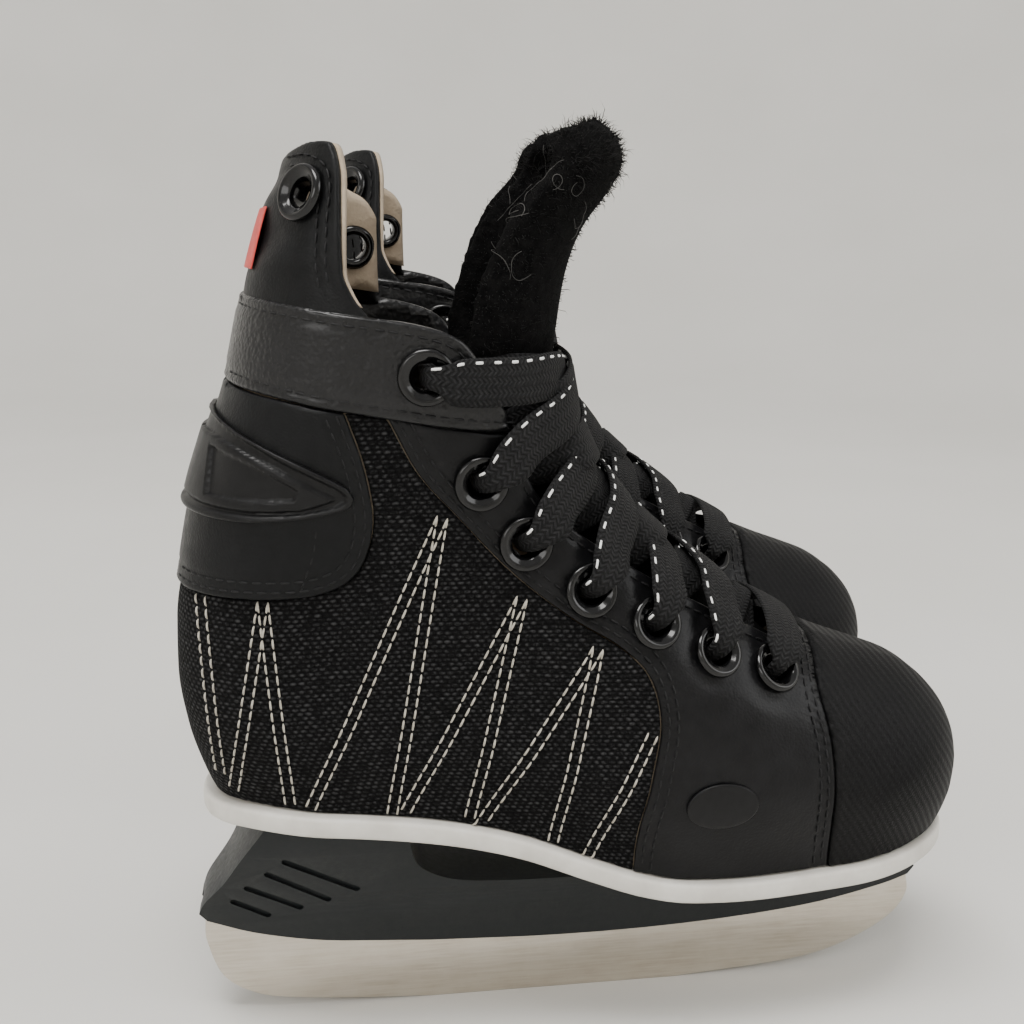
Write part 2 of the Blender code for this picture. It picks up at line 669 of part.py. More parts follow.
# ---- eyelets ----
def build_eyelet(name, point, normal, depth):
    """A dished ring with its barrel, its flange lying on the leather."""
    d = normal
    u = np.cross(d, [0, 0, 1.0])
    u /= np.linalg.norm(u)
    v = np.cross(d, u)
    profile = [(EYELET_BORE_R, -depth), (EYELET_BORE_R, 0.8), (4.6, 1.6), (5.9, 1.3),
               (EYELET_R, 0.35), (3.35, 0.35), (3.35, -depth)]
    loops = []
    t = 2 * math.pi * np.arange(10) / 10
    for r, h in profile:
        loops.append(point + h * d + r * (np.cos(t)[:, None] * u + np.sin(t)[:, None] * v))
    return tube(name, loops)


def build_eyelets(tag, parts):
    out = {}
    for side in (-1, 1):
        for i, (x, z) in enumerate([EAR_EYELETS[side]] + EYELETS):
            p, d = surface_at(x, z, side)
            lift = 0.9 if i == 1 else 0.0
            p = p + lift * d
            if i > 0:
                for name in ("ankle_band", "vamp_outer", "vamp_inner"):
                    if name == "ankle_band" and i != 1:
                        continue
                    if name.startswith("vamp") and (i == 1 or (side < 0) != name.endswith("outer")):
                        continue
                    cut(parts[name], rod(p, d, EYELET_HOLE_R, -11, 6), "DIFFERENCE")
            if side < 0 or i == 0:
                word = "eyelet_%d" % i if side < 0 else "eyelet_0_inner"
                depth = 3.4 if i == 0 else (5.2 if i == 1 else 4.0)
                lift = 0.15
                out[word] = build_eyelet(tag + word, p + lift * d, d, depth)
    return out


# ---- the lace ----
def sweep(name, rows):
    """A flat band through rows of four corner points, closed at both ends."""
    verts = np.concatenate(rows)
    n = len(rows)
    faces = []
    for i in range(n - 1):
        for c in range(4):
            d = (c + 1) % 4
            faces.append((4 * i + c, 4 * i + d, 4 * i + 4 + d, 4 * i + 4 + c))
    faces.append((0, 1, 2, 3))
    faces.append((4 * n - 1, 4 * n - 2, 4 * n - 3, 4 * n - 4))
    return add(name, verts, faces)


def crossing(start, end, hand, high, lift):
    """Out of the eyelet at start, over the tongue, then under the far facing to end."""
    (s0, a0), (s1, a1) = start, end
    run = s1 - s0
    near = float(throat_angle(s0 + 0.2 * run))
    far = float(throat_angle(s0 + 0.85 * run))
    top = 1.5 if high else 0.0
    w, t = LACE_WIDTH, LACE_THICK
    return [
        (s0, hand * a0, -5.0, 3.0, 2.4), (s0, hand * a0, 1.5 + lift, 3.2, 2.2),
        (s0 + 0.02 * run, hand * (a0 - 0.06), 3.5 + lift, 4.4, 1.5),
        (s0 + 0.08 * run, hand * (a0 - 0.19), 3.3 + lift, w - 0.6, t),
        (s0 + 0.20 * run, hand * near * 0.94, 2.3, w, t),
        (s0 + 0.30 * run, hand * near * 0.5, 0.8 + top, w, t),
        (s0 + 0.50 * run, 0.0, top * 1.25, w, t),
        (s0 + 0.68 * run, -hand * far * 0.45, -0.4 + top * 1.8, w, t),
        (s0 + 0.79 * run, -hand * far * 0.68, -2.6 + top * 0.9, w, t),
        (s0 + 0.86 * run, -hand * far * 0.88, -5.0, w - 1, t),
        (s0 + 0.95 * run, -hand * (far * 0.5 + a1 * 0.5), -5.1, 5.6, t),
    ]


def lace_path():
    """(s, angle, off, width, thickness) along the whole lace, one end to the other."""
    places = [ridge_place(x, z) for x, z in EYELETS]
    w, t = LACE_WIDTH, LACE_THICK
    runs = {}
    for side in (-1, 1):
        (s7, a7), (s6, a6) = places[6], places[5]
        hand = side
        rows = [(s7, hand * a7, 1.4, 3.2, 2.2), (s7, hand * a7, -4.4, 3.0, 2.2)]
        for k, turn in ((0.14, 0.84), (0.32, 0.45), (0.5, 0.0), (0.7, -0.5), (0.88, -0.86)):
            s = s7 + k * (s6 - s7)
            a = hand * turn * (a7 if turn > 0 else a6)
            off = float(tongue_off(s, np.array([a]))[0]) + 1.3 + (1.5 if side > 0 else 0)
            rows.append((s, a, off if abs(turn) < 0.6 else -5.0, 5.6, t))
        hand = -hand
        for level in range(5, 0, -1):
            rows += crossing(places[level], places[level - 1], hand, side > 0, 0.0)
            hand = -hand
        s1, a1 = places[0]
        rows += crossing((s1, a1), (s1 - 15, a1 + 0.05), hand, side > 0, 1.0)[:-1]
        runs[side] = rows
    s7, a7 = places[6]
    bar = []
    for k, off in ((-0.93, 3.5), (-0.76, 3.3), (-0.4, 2.2), (0.0, 1.8), (0.4, 2.2), (0.76, 3.3),
                   (0.93, 3.5)):
        end = abs(k) > 0.9
        bar.append((s7, k * a7, off, 4.4 if end else w, 1.5 if end else t))
    return runs[-1][::-1] + bar + runs[1]


def lace_mesh(tag):
    rows = np.array(lace_path())
    centre = on_ridge(rows[:, 0], rows[:, 1], rows[:, 2])
    keep = [0]
    for i in range(1, len(centre)):
        if np.linalg.norm(centre[i] - centre[keep[-1]]) > 0.4:
            keep.append(i)
    rows = rows[keep]
    centre = centre[keep]
    fine = np.column_stack([centre, rows[:, 3:5]])
    p = centre
    tangent = np.gradient(p, axis=0)
    tangent /= np.linalg.norm(tangent, axis=1)[:, None]
    loops = []
    last = None
    for i in range(len(p)):
        x, y, z = p[i]
        gap = np.hypot(RIDGE_P[:, 0] - x, RIDGE_P[:, 1] - z)
        k = int(gap.argmin())
        axis = RIDGE_P[min(k + 6, len(RIDGE_P) - 1)] - RIDGE_P[max(k - 6, 0)]
        along = np.array([axis[0], 0.0, axis[1]])
        along /= np.linalg.norm(along)
        wide = along - tangent[i] * (along @ tangent[i])
        wide /= np.linalg.norm(wide)
        if last is not None and wide @ last < 0:
            wide = -wide
        last = wide
        thin = np.cross(tangent[i], wide)
        w = fine[i, 3] / 2
        t = fine[i, 4] / 2
        loops.append(np.array([p[i] + w * wide + t * thin, p[i] - w * wide + t * thin,
                               p[i] - w * wide - t * thin, p[i] + w * wide - t * thin]))
    return sweep(tag + "lace", loops)


# ---- one skate ----
LOOK = {
    "lining_heel": ("tan_lining", (0.46, 0.37, 0.27), 0.8, 0),
    "lining_outer": ("tan_lining", (0.46, 0.37, 0.27), 0.8, 0),
    "lining_inner": ("tan_lining", (0.46, 0.37, 0.27), 0.8, 0),
    "guard_lining": ("tan_lining", (0.46, 0.37, 0.27), 0.8, 0),
    "insole": ("insole_board", (0.30, 0.25, 0.19), 0.85, 0),
    "side_fabric": ("woven_fabric", (0.020, 0.020, 0.022), 0.85, 0),
    "sole": ("sole_white", (0.72, 0.70, 0.67), 0.5, 0),
    "blade_holder": ("holder_plastic", (0.022, 0.026, 0.030), 0.45, 0),
    "blade": ("runner_steel", (0.58, 0.53, 0.46), 0.35, 1.0),
    "tongue_base": ("tongue_pile", (0.008, 0.008, 0.009), 0.95, 0),
    "tongue_top": ("tongue_pile", (0.008, 0.008, 0.009), 0.95, 0),
    "lace": ("lace_cord", (0.010, 0.010, 0.011), 0.9, 0),
    "toe_cap": ("toe_rubber", (0.010, 0.010, 0.011), 0.6, 0),
    "heel_badge": ("badge_rubber", (0.012, 0.012, 0.014), 0.45, 0),
}
LEATHER_LOOK = ("black_leather", (0.012, 0.012, 0.014), 0.42, 0)
EYELET_LOOK = ("eyelet_gloss", (0.006, 0.006, 0.007), 0.12, 0)
HARD = ("blade_holder", "blade")
# build_skate works in the right skate's words, and the left skate's outer side is its +y side
SWAPPED = {"eyelet_0_inner": "eyelet_0_outer"}
for stem in ("lining_", "vamp_", "emblem_"):
    SWAPPED[stem + "outer"] = stem + "inner"
    SWAPPED[stem + "inner"] = stem + "outer"


def hinge_frame(name, x, y, z):
    """An empty on a joint's axis, which the moving pieces are parented to."""
    empty = bpy.data.objects.new(name, None)
    empty.location = (x * 0.001, y * 0.001, z * 0.001)
    COLLECTION.objects.link(empty)
    return empty


def build_skate(tag, inner, dx, dy):
    parts = build_panels(tag)
    parts.update(build_bottom(tag))
    parts.update(build_tongue(tag))
    parts.update(build_guard(tag))
    parts.update(build_eyelets(tag, parts))
    parts["lace"] = lace_mesh(tag)
    tongue = hinge_frame(tag + "tongue_hinge", HINGE_X + dx, dy, HINGE_Z)
    guard = hinge_frame(tag + "guard_hinge", 18.0 + dx, dy, 181.4)
    for word, ob in parts.items():
        look = LOOK.get(word, EYELET_LOOK if word.startswith("eyelet") else LEATHER_LOOK)
        ob.data.materials.clear()
        ob.data.materials.append(material(*look))
        moving = None
        if word == "tongue_top":
            moving = tongue
        if word.startswith("guard") or word.startswith("eyelet_0"):
            moving = guard
        base = (0.0, 0.0, 0.0)
        if moving:
            base = tuple(moving.location)
            ob.parent = moving
        for v in ob.data.vertices:
            x, y, z = v.co
            if word not in HARD:
                y = y + inner * TOE_BEND * 0.001 * float(smooth(0.09, 0.20, x))
            v.co = (x + dx * 0.001 - base[0], y + dy * 0.001 - base[1], z - base[2])
        flat = word in HARD
        for poly in ob.data.polygons:
            poly.use_smooth = not flat
    if inner < 0:
        for word in SWAPPED:
            parts[word].name = "renaming_" + word
        for word, final in SWAPPED.items():
            parts[word].name = tag + final
    return parts


right_x = -CENTRE_X
left_x = -CENTRE_X + STAGGER
build_skate("right_", 1, right_x, -PAIR_SPACING / 2)
build_skate("left_", -1, left_x, PAIR_SPACING / 2)
for ob in list(TOOLS.objects):
    bpy.data.objects.remove(ob, do_unlink=True)
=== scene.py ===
"""A pair of child's lace-up hockey skates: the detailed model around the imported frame.

Working lengths are millimetres in one skate's own frame: x from the back of the heel to the
toe, y across, z up from the ice. Each piece is made once and set down for both skates.
"""

import math

import bmesh
import bpy
import numpy as np
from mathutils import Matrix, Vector
from mathutils.geometry import delaunay_2d_cdt
from mathutils.kdtree import KDTree


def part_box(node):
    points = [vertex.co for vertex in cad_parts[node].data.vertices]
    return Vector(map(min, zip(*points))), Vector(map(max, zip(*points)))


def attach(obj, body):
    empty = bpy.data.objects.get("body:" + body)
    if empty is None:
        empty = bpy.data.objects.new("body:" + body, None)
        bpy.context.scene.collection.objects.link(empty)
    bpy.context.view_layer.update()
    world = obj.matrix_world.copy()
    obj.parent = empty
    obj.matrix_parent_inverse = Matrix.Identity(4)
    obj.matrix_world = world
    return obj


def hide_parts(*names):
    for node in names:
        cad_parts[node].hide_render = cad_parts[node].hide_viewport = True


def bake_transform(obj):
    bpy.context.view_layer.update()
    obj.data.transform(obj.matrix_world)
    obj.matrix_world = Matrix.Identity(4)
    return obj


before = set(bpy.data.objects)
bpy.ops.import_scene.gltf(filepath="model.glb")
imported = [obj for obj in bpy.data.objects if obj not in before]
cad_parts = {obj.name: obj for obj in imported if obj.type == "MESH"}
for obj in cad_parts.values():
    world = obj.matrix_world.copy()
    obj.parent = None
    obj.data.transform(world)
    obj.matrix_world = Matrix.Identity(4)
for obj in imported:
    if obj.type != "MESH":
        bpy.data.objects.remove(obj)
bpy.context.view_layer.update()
RNG = np.random.default_rng(7)

# ---- places read from the frame ----
BLADE_BACK = 3.6            # the runner's rear end in a skate's own frame
TOE_BEND = 3.0              # the toe swings to the inner side by this much


def skate_origin(tag):
    low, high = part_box(tag + "blade")
    return np.array([low.x * 1000 - BLADE_BACK, (low.y + high.y) * 500, 0.0])


SKATES = {"right_": (skate_origin("right_"), 1.0), "left_": (skate_origin("left_"), -1.0)}

# ---- driving dimensions, mm ----
LEATHER = 1.6
LINING_OUT, LINING_IN = -1.9, -4.0
EYELET_R = 6.3
HOLE_R = 3.9
LACE_WIDTH = 10.6
TOP_H = 148.0
SOLE_THICK = 4.2
GAP = 0.3
BLADE_THICK = 3.4


# ---- curves ----
def curve(points):
    """A smooth monotone curve through (t, value) points."""
    t = np.array([p[0] for p in points], float)
    v = np.array([p[1] for p in points], float)
    h = np.diff(t)
    d = np.diff(v) / h
    m = np.zeros(len(t))
    m[0], m[-1] = d[0], d[-1]
    for i in range(1, len(t) - 1):
        if d[i - 1] * d[i] > 0:
            w1, w2 = 2 * h[i] + h[i - 1], h[i] + 2 * h[i - 1]
            m[i] = (w1 + w2) / (w1 / d[i - 1] + w2 / d[i])

    def value(q):
        q = np.clip(np.asarray(q, float), t[0], t[-1])
        i = np.clip(np.searchsorted(t, q) - 1, 0, len(t) - 2)
        s = (q - t[i]) / h[i]
        return ((2 * s**3 - 3 * s**2 + 1) * v[i] + (s**3 - 2 * s**2 + s) * h[i] * m[i]
                + (3 * s**2 - 2 * s**3) * v[i + 1] + (s**3 - s**2) * h[i] * m[i + 1])

    return value


def smooth(a, b, q):
    s = np.clip((np.asarray(q, float) - a) / (b - a), 0, 1)
    return s * s * (3 - 2 * s)


def spline(points, n):
    """A smooth open curve through points, n steps to each stretch."""
    p = np.array(points, float)
    q = np.vstack([2 * p[0] - p[1], p, 2 * p[-1] - p[-2]])
    out = []
    for i in range(len(p) - 1):
        a, b, c, d = q[i:i + 4]
        for k in range(n):
            s = k / n
            out.append(0.5 * (2 * b + (c - a) * s + (2 * a - 5 * b + 4 * c - d) * s**2
                              + (3 * b - a - 3 * c + d) * s**3))
    out.append(p[-1])
    return np.array(out)


def unit(v):
    return v / (np.linalg.norm(v, axis=-1, keepdims=True) + 1e-12)


def shifted(points, d):
    """An open curve moved sideways by d, to the left of its direction."""
    p = np.array(points, float)
    t = unit(np.gradient(p, axis=0))
    return p + d * np.column_stack([-t[:, 1], t[:, 0]])


def evenly(points, step):
    """A curve's points again, at even distances of about step."""
    p = np.asarray(points, float)
    s = np.concatenate([[0], np.cumsum(np.linalg.norm(np.diff(p, axis=0), axis=1))])
    n = max(2, int(round(s[-1] / step)) + 1)
    q = np.linspace(0, s[-1], n)
    return np.column_stack([np.interp(q, s, p[:, i]) for i in range(p.shape[1])])


def joined(*runs):
    return np.concatenate([np.asarray(r, float) for r in runs])


# ---- the boot's form ----
HEEL = curve([(58, 9.5), (68, 5), (80, 1.6), (93, 0), (106, 0.4), (120, 2.8), (135, 6), (148, 10.2),
              (160, 14.6), (178, 19), (190, 22.2), (203, 26.6), (214, 31.5)])
RIDGE = curve([(40, 189), (44, 191.6), (49, 193.8), (55, 195.2), (61, 195.4), (68, 194.4), (75, 191.6),
               (81, 186.8), (86, 180), (89.5, 171.6), (93.5, 161), (101, 145.5), (112, 128.5),
               (123, 114.5), (133, 105), (144, 98), (155, 94), (168, 92), (192, 91)])
SOLE_TOP = curve([(-8, 62.5), (6, 62.8), (18, 64.2), (36, 62.6), (52, 60.6), (66, 58.4), (80, 55),
                  (96, 49.2), (108, 45.2), (120, 42.8), (134, 42.2), (155, 42.6), (178, 43.6),
                  (202, 45.4)])
LOW_WIDTH = curve([(0, 26.6), (25, 26.8), (50, 26.4), (75, 28), (95, 31), (115, 33.8), (135, 34.2),
                   (155, 33), (175, 31), (200, 28)])
ANKLE_WIDTH = 30.0
BALL_Z = 43.0


def profile_line(profile, low, high):
    z = np.linspace(low, high, 260)
    return np.column_stack([profile(z), z])


HEEL_LINE = profile_line(HEEL, 58, 214)
RIDGE_LINE = profile_line(RIDGE, 40, 192)


def nearest(line, x, z):
    """Distance from each point to a line in the side view, and the line's height there."""
    shape = np.shape(x)
    q = np.column_stack([np.ravel(x), np.ravel(z)])
    a = line[:-1]
    s = line[1:] - a
    length = (s * s).sum(1)
    gaps, heights = np.zeros(len(q)), np.zeros(len(q))
    for i in range(0, len(q), 6000):
        w = q[i:i + 6000, None, :] - a[None]
        t = np.clip((w * s[None]).sum(2) / length[None], 0, 1)
        gap = np.linalg.norm(w - t[..., None] * s[None], axis=2)
        k = gap.argmin(1)
        rows = np.arange(len(k))
        gaps[i:i + 6000] = gap[rows, k]
        heights[i:i + 6000] = a[k, 1] + t[rows, k] * s[k, 1]
    return gaps.reshape(shape), heights.reshape(shape)


def base_width(x, z):
    low = LOW_WIDTH(x) * (0.87 + 0.13 * smooth(0, 24, z - SOLE_TOP(x)))
    k = smooth(112, 160, z)
    return low * (1 - k) + ANKLE_WIDTH * k


# signed distances from the heel and ridge lines over the side view, sampled once
CELL = 0.8
GRID_X, GRID_Z = np.arange(-12, 208, CELL), np.arange(30, 224, CELL)
MESH_X, MESH_Z = np.meshgrid(GRID_X, GRID_Z)
FROM_HEEL = nearest(HEEL_LINE, MESH_X, MESH_Z)[0] * np.where(MESH_X < HEEL(MESH_Z), -1, 1)
FROM_RIDGE, RIDGE_HEIGHT = nearest(RIDGE_LINE, MESH_X, MESH_Z)
FROM_RIDGE = FROM_RIDGE * np.where(MESH_X > RIDGE(MESH_Z), -1, 1)


def half_width(x, z):
    x, z = np.asarray(x, float), np.asarray(z, float)
    i = np.clip((z - GRID_Z[0]) / CELL, 0, len(GRID_Z) - 1.001)
    j = np.clip((x - GRID_X[0]) / CELL, 0, len(GRID_X) - 1.001)
    r, c = i.astype(int), j.astype(int)
    u, v = i - r, j - c
    look = lambda t: ((t[r, c] * (1 - v) + t[r, c + 1] * v) * (1 - u)
                      + (t[r + 1, c] * (1 - v) + t[r + 1, c + 1] * v) * u)
    k = smooth(74, 96, look(RIDGE_HEIGHT))
    power = 2.35 - 0.35 * k
    near_heel = 1 - np.clip(look(FROM_HEEL) / 26.0, 0, 1)
    near_front = 1 - np.clip(look(FROM_RIDGE) / (30 + 4 * k), 0, 1)
    heel = np.sqrt(np.maximum(1 - near_heel**2.1, 0))
    front = np.maximum(1 - near_front**power, 0) ** (1 / power)
    return base_width(x, z) * heel * front


def rise_at(h, x):
    return (SOLE_TOP(x) - BALL_Z) * (1 - smooth(0, 74, h))


def on_boot(a, h):
    """Points of the boot: a runs from 0 at the heel to 1 at the toe, minus on the -y side."""
    a = (np.asarray(a, float) + 1) % 2 - 1
    h = np.asarray(h, float)
    back = HEEL(BALL_Z + h + rise_at(h, 5.0))
    front = RIDGE(BALL_Z + h + rise_at(h, 190.0))
    x = back + (front - back) * (1 - np.cos(math.pi * np.abs(a))) / 2
    z = BALL_Z + h + rise_at(h, x)
    y = half_width(x, z) * np.sign(a)
    y = np.where((np.abs(a) > 1 - 1e-9) | (np.abs(a) < 1e-9), 0, y)
    return np.stack([x, y, z], -1)


def boot_frame(a, h):
    """Point, outward normal and the two derivatives of the boot's surface."""
    da, dh = 0.004, 0.5
    pa = (on_boot(a + da, h) - on_boot(a - da, h)) / (2 * da)
    ph = (on_boot(a, h + dh) - on_boot(a, h - dh)) / (2 * dh)
    return on_boot(a, h), unit(-np.cross(pa, ph)), pa, ph


def locate(x, z):
    """(|a|, h, inside) of the surface point seen at (x, z) from the side."""
    x, z = np.asarray(x, float), np.asarray(z, float)
    low, high = np.zeros_like(x), np.full_like(x, TOP_H)
    for _ in range(40):
        h = (low + high) / 2
        over = BALL_Z + h + rise_at(h, x) > z
        high = np.where(over, h, high)
        low = np.where(over, low, h)
    back = HEEL(BALL_Z + h + rise_at(h, 5.0))
    front = RIDGE(BALL_Z + h + rise_at(h, 190.0))
    k = (x - back) / (front - back)
    return np.arccos(1 - 2 * np.clip(k, 0, 1)) / math.pi, h, k


# distances round the boot, which flatten it for meshing
TABLE_H = np.linspace(0, TOP_H, 75)
TABLE_A = np.linspace(0, 1, 121)
TABLE_P = on_boot(*np.meshgrid(TABLE_A, TABLE_H))
TABLE_T = np.concatenate([np.zeros((75, 1)), np.cumsum(
    np.linalg.norm(np.diff(TABLE_P, axis=1), axis=2), axis=1)], axis=1)
CLIMB = np.concatenate([[0], np.cumsum(np.linalg.norm(np.diff(TABLE_P[:, -1], axis=0), axis=1))])
CLIMB = 0.5 * CLIMB + 0.5 * TABLE_H


def around(a, h):
    """Distance from the heel round the boot to |a| at height h."""
    i = np.clip(np.asarray(h) / TABLE_H[1], 0, 73.999)
    j = np.clip(np.abs(a) * 120, 0, 119.999)
    i0, j0 = i.astype(int), j.astype(int)
    u, v = i - i0, j - j0
    t = TABLE_T
    return ((t[i0, j0] * (1 - v) + t[i0, j0 + 1] * v) * (1 - u)
            + (t[i0 + 1, j0] * (1 - v) + t[i0 + 1, j0 + 1] * v) * u)


def flat(a, h, toe):
    """Flattened position: centred on the heel, or on the toe."""
    a = (np.asarray(a, float) + 1) % 2 - 1 if toe else np.asarray(a, float)
    side = np.where(a < 0, -1.0, 1.0)
    x = side * around(a, h)
    if toe:
        x = side * (around(a, h) - around(np.ones_like(a), h))
    return np.column_stack([x, np.interp(h, TABLE_H, CLIMB)])


def field(step):
    """Points spread evenly over the whole boot, step apart, as (a, h)."""
    rows = np.interp(np.arange(step / 2, CLIMB[-1], step * 0.85), CLIMB, TABLE_H)
    out = []
    for k, h in enumerate(rows):
        t = around(TABLE_A, np.full(121, h))
        q = np.arange(step * (0.25 + 0.5 * (k % 2)), t[-1] - step * 0.2, step)
        a = np.interp(q, t, TABLE_A)
        out.append(np.column_stack([a, np.full(len(a), h)]))
        out.append(np.column_stack([-a, np.full(len(a), h)]))
    return np.concatenate(out)


def inside(polygon, points):
    """Which points lie in a polygon."""
    x, y = points[:, 0], points[:, 1]
    hit = np.zeros(len(points), bool)
    p, q = polygon, np.roll(polygon, -1, axis=0)
    for (x0, y0), (x1, y1) in zip(p, q):
        if y0 == y1:
            continue
        cross = (y0 > y) != (y1 > y)
        hit ^= cross & (x < (x1 - x0) * (y - y0) / (y1 - y0) + x0)
    return hit


def gap_to(points, cloud):
    """Distance from each point to the nearest of a cloud of points."""
    tree = KDTree(len(cloud))
    width = cloud.shape[1]
    for i, c in enumerate(cloud.tolist()):
        tree.insert(c if width == 3 else (c[0], c[1], 0.0), i)
    tree.balance()
    if width == 2:
        points = np.column_stack([points, np.zeros(len(points))])
    return np.array([tree.find(q)[2] for q in points.tolist()])


# ---- outlines in the side view ----
BAND_TOP = spline([(-14, 183), (20, 181), (41, 178.4), (57, 175.8), (66, 172.4), (71, 166)], 8)
BAND_FRONT = spline([(71, 166), (75, 158.5), (77.5, 151.6)], 4)
BAND_BOTTOM = spline([(77.5, 151.6), (61, 154), (40, 157.8), (20, 161.4), (-14, 165)], 8)
COUNTER_EDGE = spline([(41, 157.6), (45, 145), (46.6, 132), (43, 121.5), (34, 116.6), (17, 115.8),
                       (-14, 115)], 8)
FACING_EDGE = spline([(50, 156.1), (56.5, 143.5), (65, 133.5), (77, 120.5), (90, 110), (102, 102.4),
                      (108.6, 95), (110.8, 84), (109, 70), (106.5, 55), (106, 36)], 8)
TOE_SEAM = spline([(156, 104), (155, 97), (152.6, 88), (154, 76), (154.6, 60), (155.4, 36)], 8)
THROAT = spline([(71, 166), (77.5, 151.6), (81, 142), (87, 133.2), (99.5, 123.4), (114, 114.2),
                 (129, 105.6), (138, 101), (145.5, 97.6), (150.5, 98.4), (152.5, 104)], 8)
LINING_EDGE = spline([(-14, 183), (20, 181), (41, 178.2), (47, 172), (52, 156), (63, 137), (80, 118),
                      (100, 103), (124, 91), (141, 84.6), (151, 88), (154, 97), (160, 108)], 6)
EYELETS = [(58.4, 165), (70.2, 141.2), (80.2, 127), (95, 115.5), (110.2, 107), (125.4, 98.8),
           (140.8, 92.8)]
EAR_EYELETS = {-1: (33.6, 203), 1: (45.0, 189.6)}
BADGE_TOP = spline([(-14, 160), (8, 157), (16, 153.6), (33, 146), (41, 141.6)], 6)
BADGE_LOW = spline([(42.6, 139), (40, 136.6), (23, 133.9), (8, 133.4), (-14, 133.4)], 6)
FABRIC_PEAKS = [  # white zigzag: a peak and the feet under it
    ((7.6, 115), (10.0, 69.5)), ((22, 115.2), (12.8, 66.5), (26.2, 64.0)),
    ((61.7, 133.5), (30.2, 62.8), (49.4, 60.2)), ((79.3, 114.5), (51.6, 59.6), (67.0, 56.6)),
    ((96.4, 102.6), (69.0, 56.0), (86.6, 50.4)), ((109, 82), (94.6, 47.8))]


# ---- meshes and pieces ----
class Shape:
    """Vertices in mm, faces, and for each vertex where it lies on its cloth (u, v in mm)."""

    def __init__(self, verts, faces, cloth=None):
        self.verts = np.asarray(verts, float)
        self.faces = [tuple(int(i) for i in f) for f in faces]
        self.cloth = cloth

    def __add__(self, other):
        n = len(self.verts)
        faces = self.faces + [tuple(i + n for i in f) for f in other.faces]
        cloth = None
        if self.cloth is not None and other.cloth is not None:
            cloth = np.concatenate([self.cloth, other.cloth])
        return Shape(np.concatenate([self.verts, other.verts]), faces, cloth)


def gather(shapes):
    """Many shapes as one, quickly."""
    shapes = list(shapes)
    starts = np.cumsum([0] + [len(s.verts) for s in shapes[:-1]])
    faces = [tuple(i + int(n) for i in f) for s, n in zip(shapes, starts) for f in s.faces]
    cloth = None
    if all(s.cloth is not None for s in shapes):
        cloth = np.concatenate([s.cloth for s in shapes])
    return Shape(np.concatenate([s.verts for s in shapes]), faces, cloth)


def set_down(shape, name, tag, material, bend=True, weld=0.0):
    """One piece in the world, from a shape in its skate's frame."""
    origin, inner = SKATES[tag]
    p = shape.verts.copy()
    if bend:
        p[:, 1] += inner * TOE_BEND * smooth(90, 200, p[:, 0])
    p = (p + origin) / 1000
    mesh = bpy.data.meshes.new(tag + name)
    mesh.from_pydata(p.tolist(), [], shape.faces)
    if shape.cloth is not None:
        layer = mesh.uv_layers.new(name="cloth")
        corners = np.zeros(len(mesh.loops), int)
        mesh.loops.foreach_get("vertex_index", corners)
        layer.data.foreach_set("uv", shape.cloth[corners].astype(np.float32).ravel())
    bm = bmesh.new()
    bm.from_mesh(mesh)
    if weld:
        bmesh.ops.remove_doubles(bm, verts=bm.verts, dist=weld / 1000)
    bmesh.ops.recalc_face_normals(bm, faces=bm.faces)
    for f in bm.faces:
        f.smooth = True
    bm.to_mesh(mesh)
    bm.free()
    ob = bpy.data.objects.new(tag + name, mesh)
    bpy.context.scene.collection.objects.link(ob)
    mesh.materials.append(material)
    return ob


GUARD_BEND = ((18.0, 0.0, 178.8), (18.0, 0.0, 187.0))    # the guard's foot bends between these; passed as bends they only leave a piece fixed in the world


def piece(shape, name, material, body="skate", stands_for=(), bend=True, weld=0.0,
          bends=None):
    """The same piece on both skates, riding its body, or, with bends given, left fixed in the world."""
    made = []
    for tag, (origin, _) in SKATES.items():
        ob = set_down(shape, name, tag, material, bend, weld)
        if bends:
            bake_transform(ob)
        else:
            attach(ob, tag + body)
        for node in stands_for:
            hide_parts(tag + node_name(tag, node))
        made.append(ob)
    return made


def node_name(tag, node):
    """The left skate's inner side is its -y side, so those words swap."""
    if tag == "left_":
        for a, b in (("outer", "inner"), ("inner", "outer")):
            if node.endswith(a):
                return node[:-len(a)] + b
    return node


# ---- panels of the boot ----
def half_line(line, step=0.7):
    """(|a|, h) along an outline in the side view, cut off at the boot's silhouette."""
    p = evenly(line, step)
    a, h, k = locate(p[:, 0], p[:, 1])
    keep = (k > 0) & (k < 1)
    a, h, k = a[keep], h[keep], k[keep]
    out = np.column_stack([a, h])
    if k[0] < 0.06 and p[0, 0] < 0:
        out = np.vstack([[0, h[0]], out])
    if k[-1] < 0.06 and p[-1, 0] < 0:
        out = np.vstack([out, [0, h[-1]]])
    if k[0] > 0.94 and not keep[0]:
        out = np.vstack([[1, h[0]], out])
    if k[-1] > 0.94 and not keep[-1]:
        out = np.vstack([out, [1, h[-1]]])
    return out


def wrapped(line, toe=False, step=0.7):
    """A closed loop of (a, h) over both sides, from an outline on one."""
    near = half_line(line, step)
    near[:, 0] *= -1
    far = near[::-1] * [-1, 1]
    loop = np.vstack([near, far])
    if toe:
        loop[:, 0] %= 2
    keep = [i for i in range(len(loop))
            if np.linalg.norm(loop[i] - loop[i - 1]) > 1e-7]
    return loop[keep]


def one_side(line, side, step=0.7):
    near = half_line(np.vstack([line, line[:1]]), step)
    near[:, 0] *= side
    keep = [i for i in range(len(near)) if np.linalg.norm(near[i] - near[i - 1]) > 1e-7]
    return near[keep]


def hole(x, z, side, r, form_frame=boot_frame):
    """A round hole's loop of (a, h) about a point of the side."""
    a, h, _ = locate(np.array([x]), np.array([z]))
    return circle(np.array([a[0] * side, h[0]]), r, form_frame)


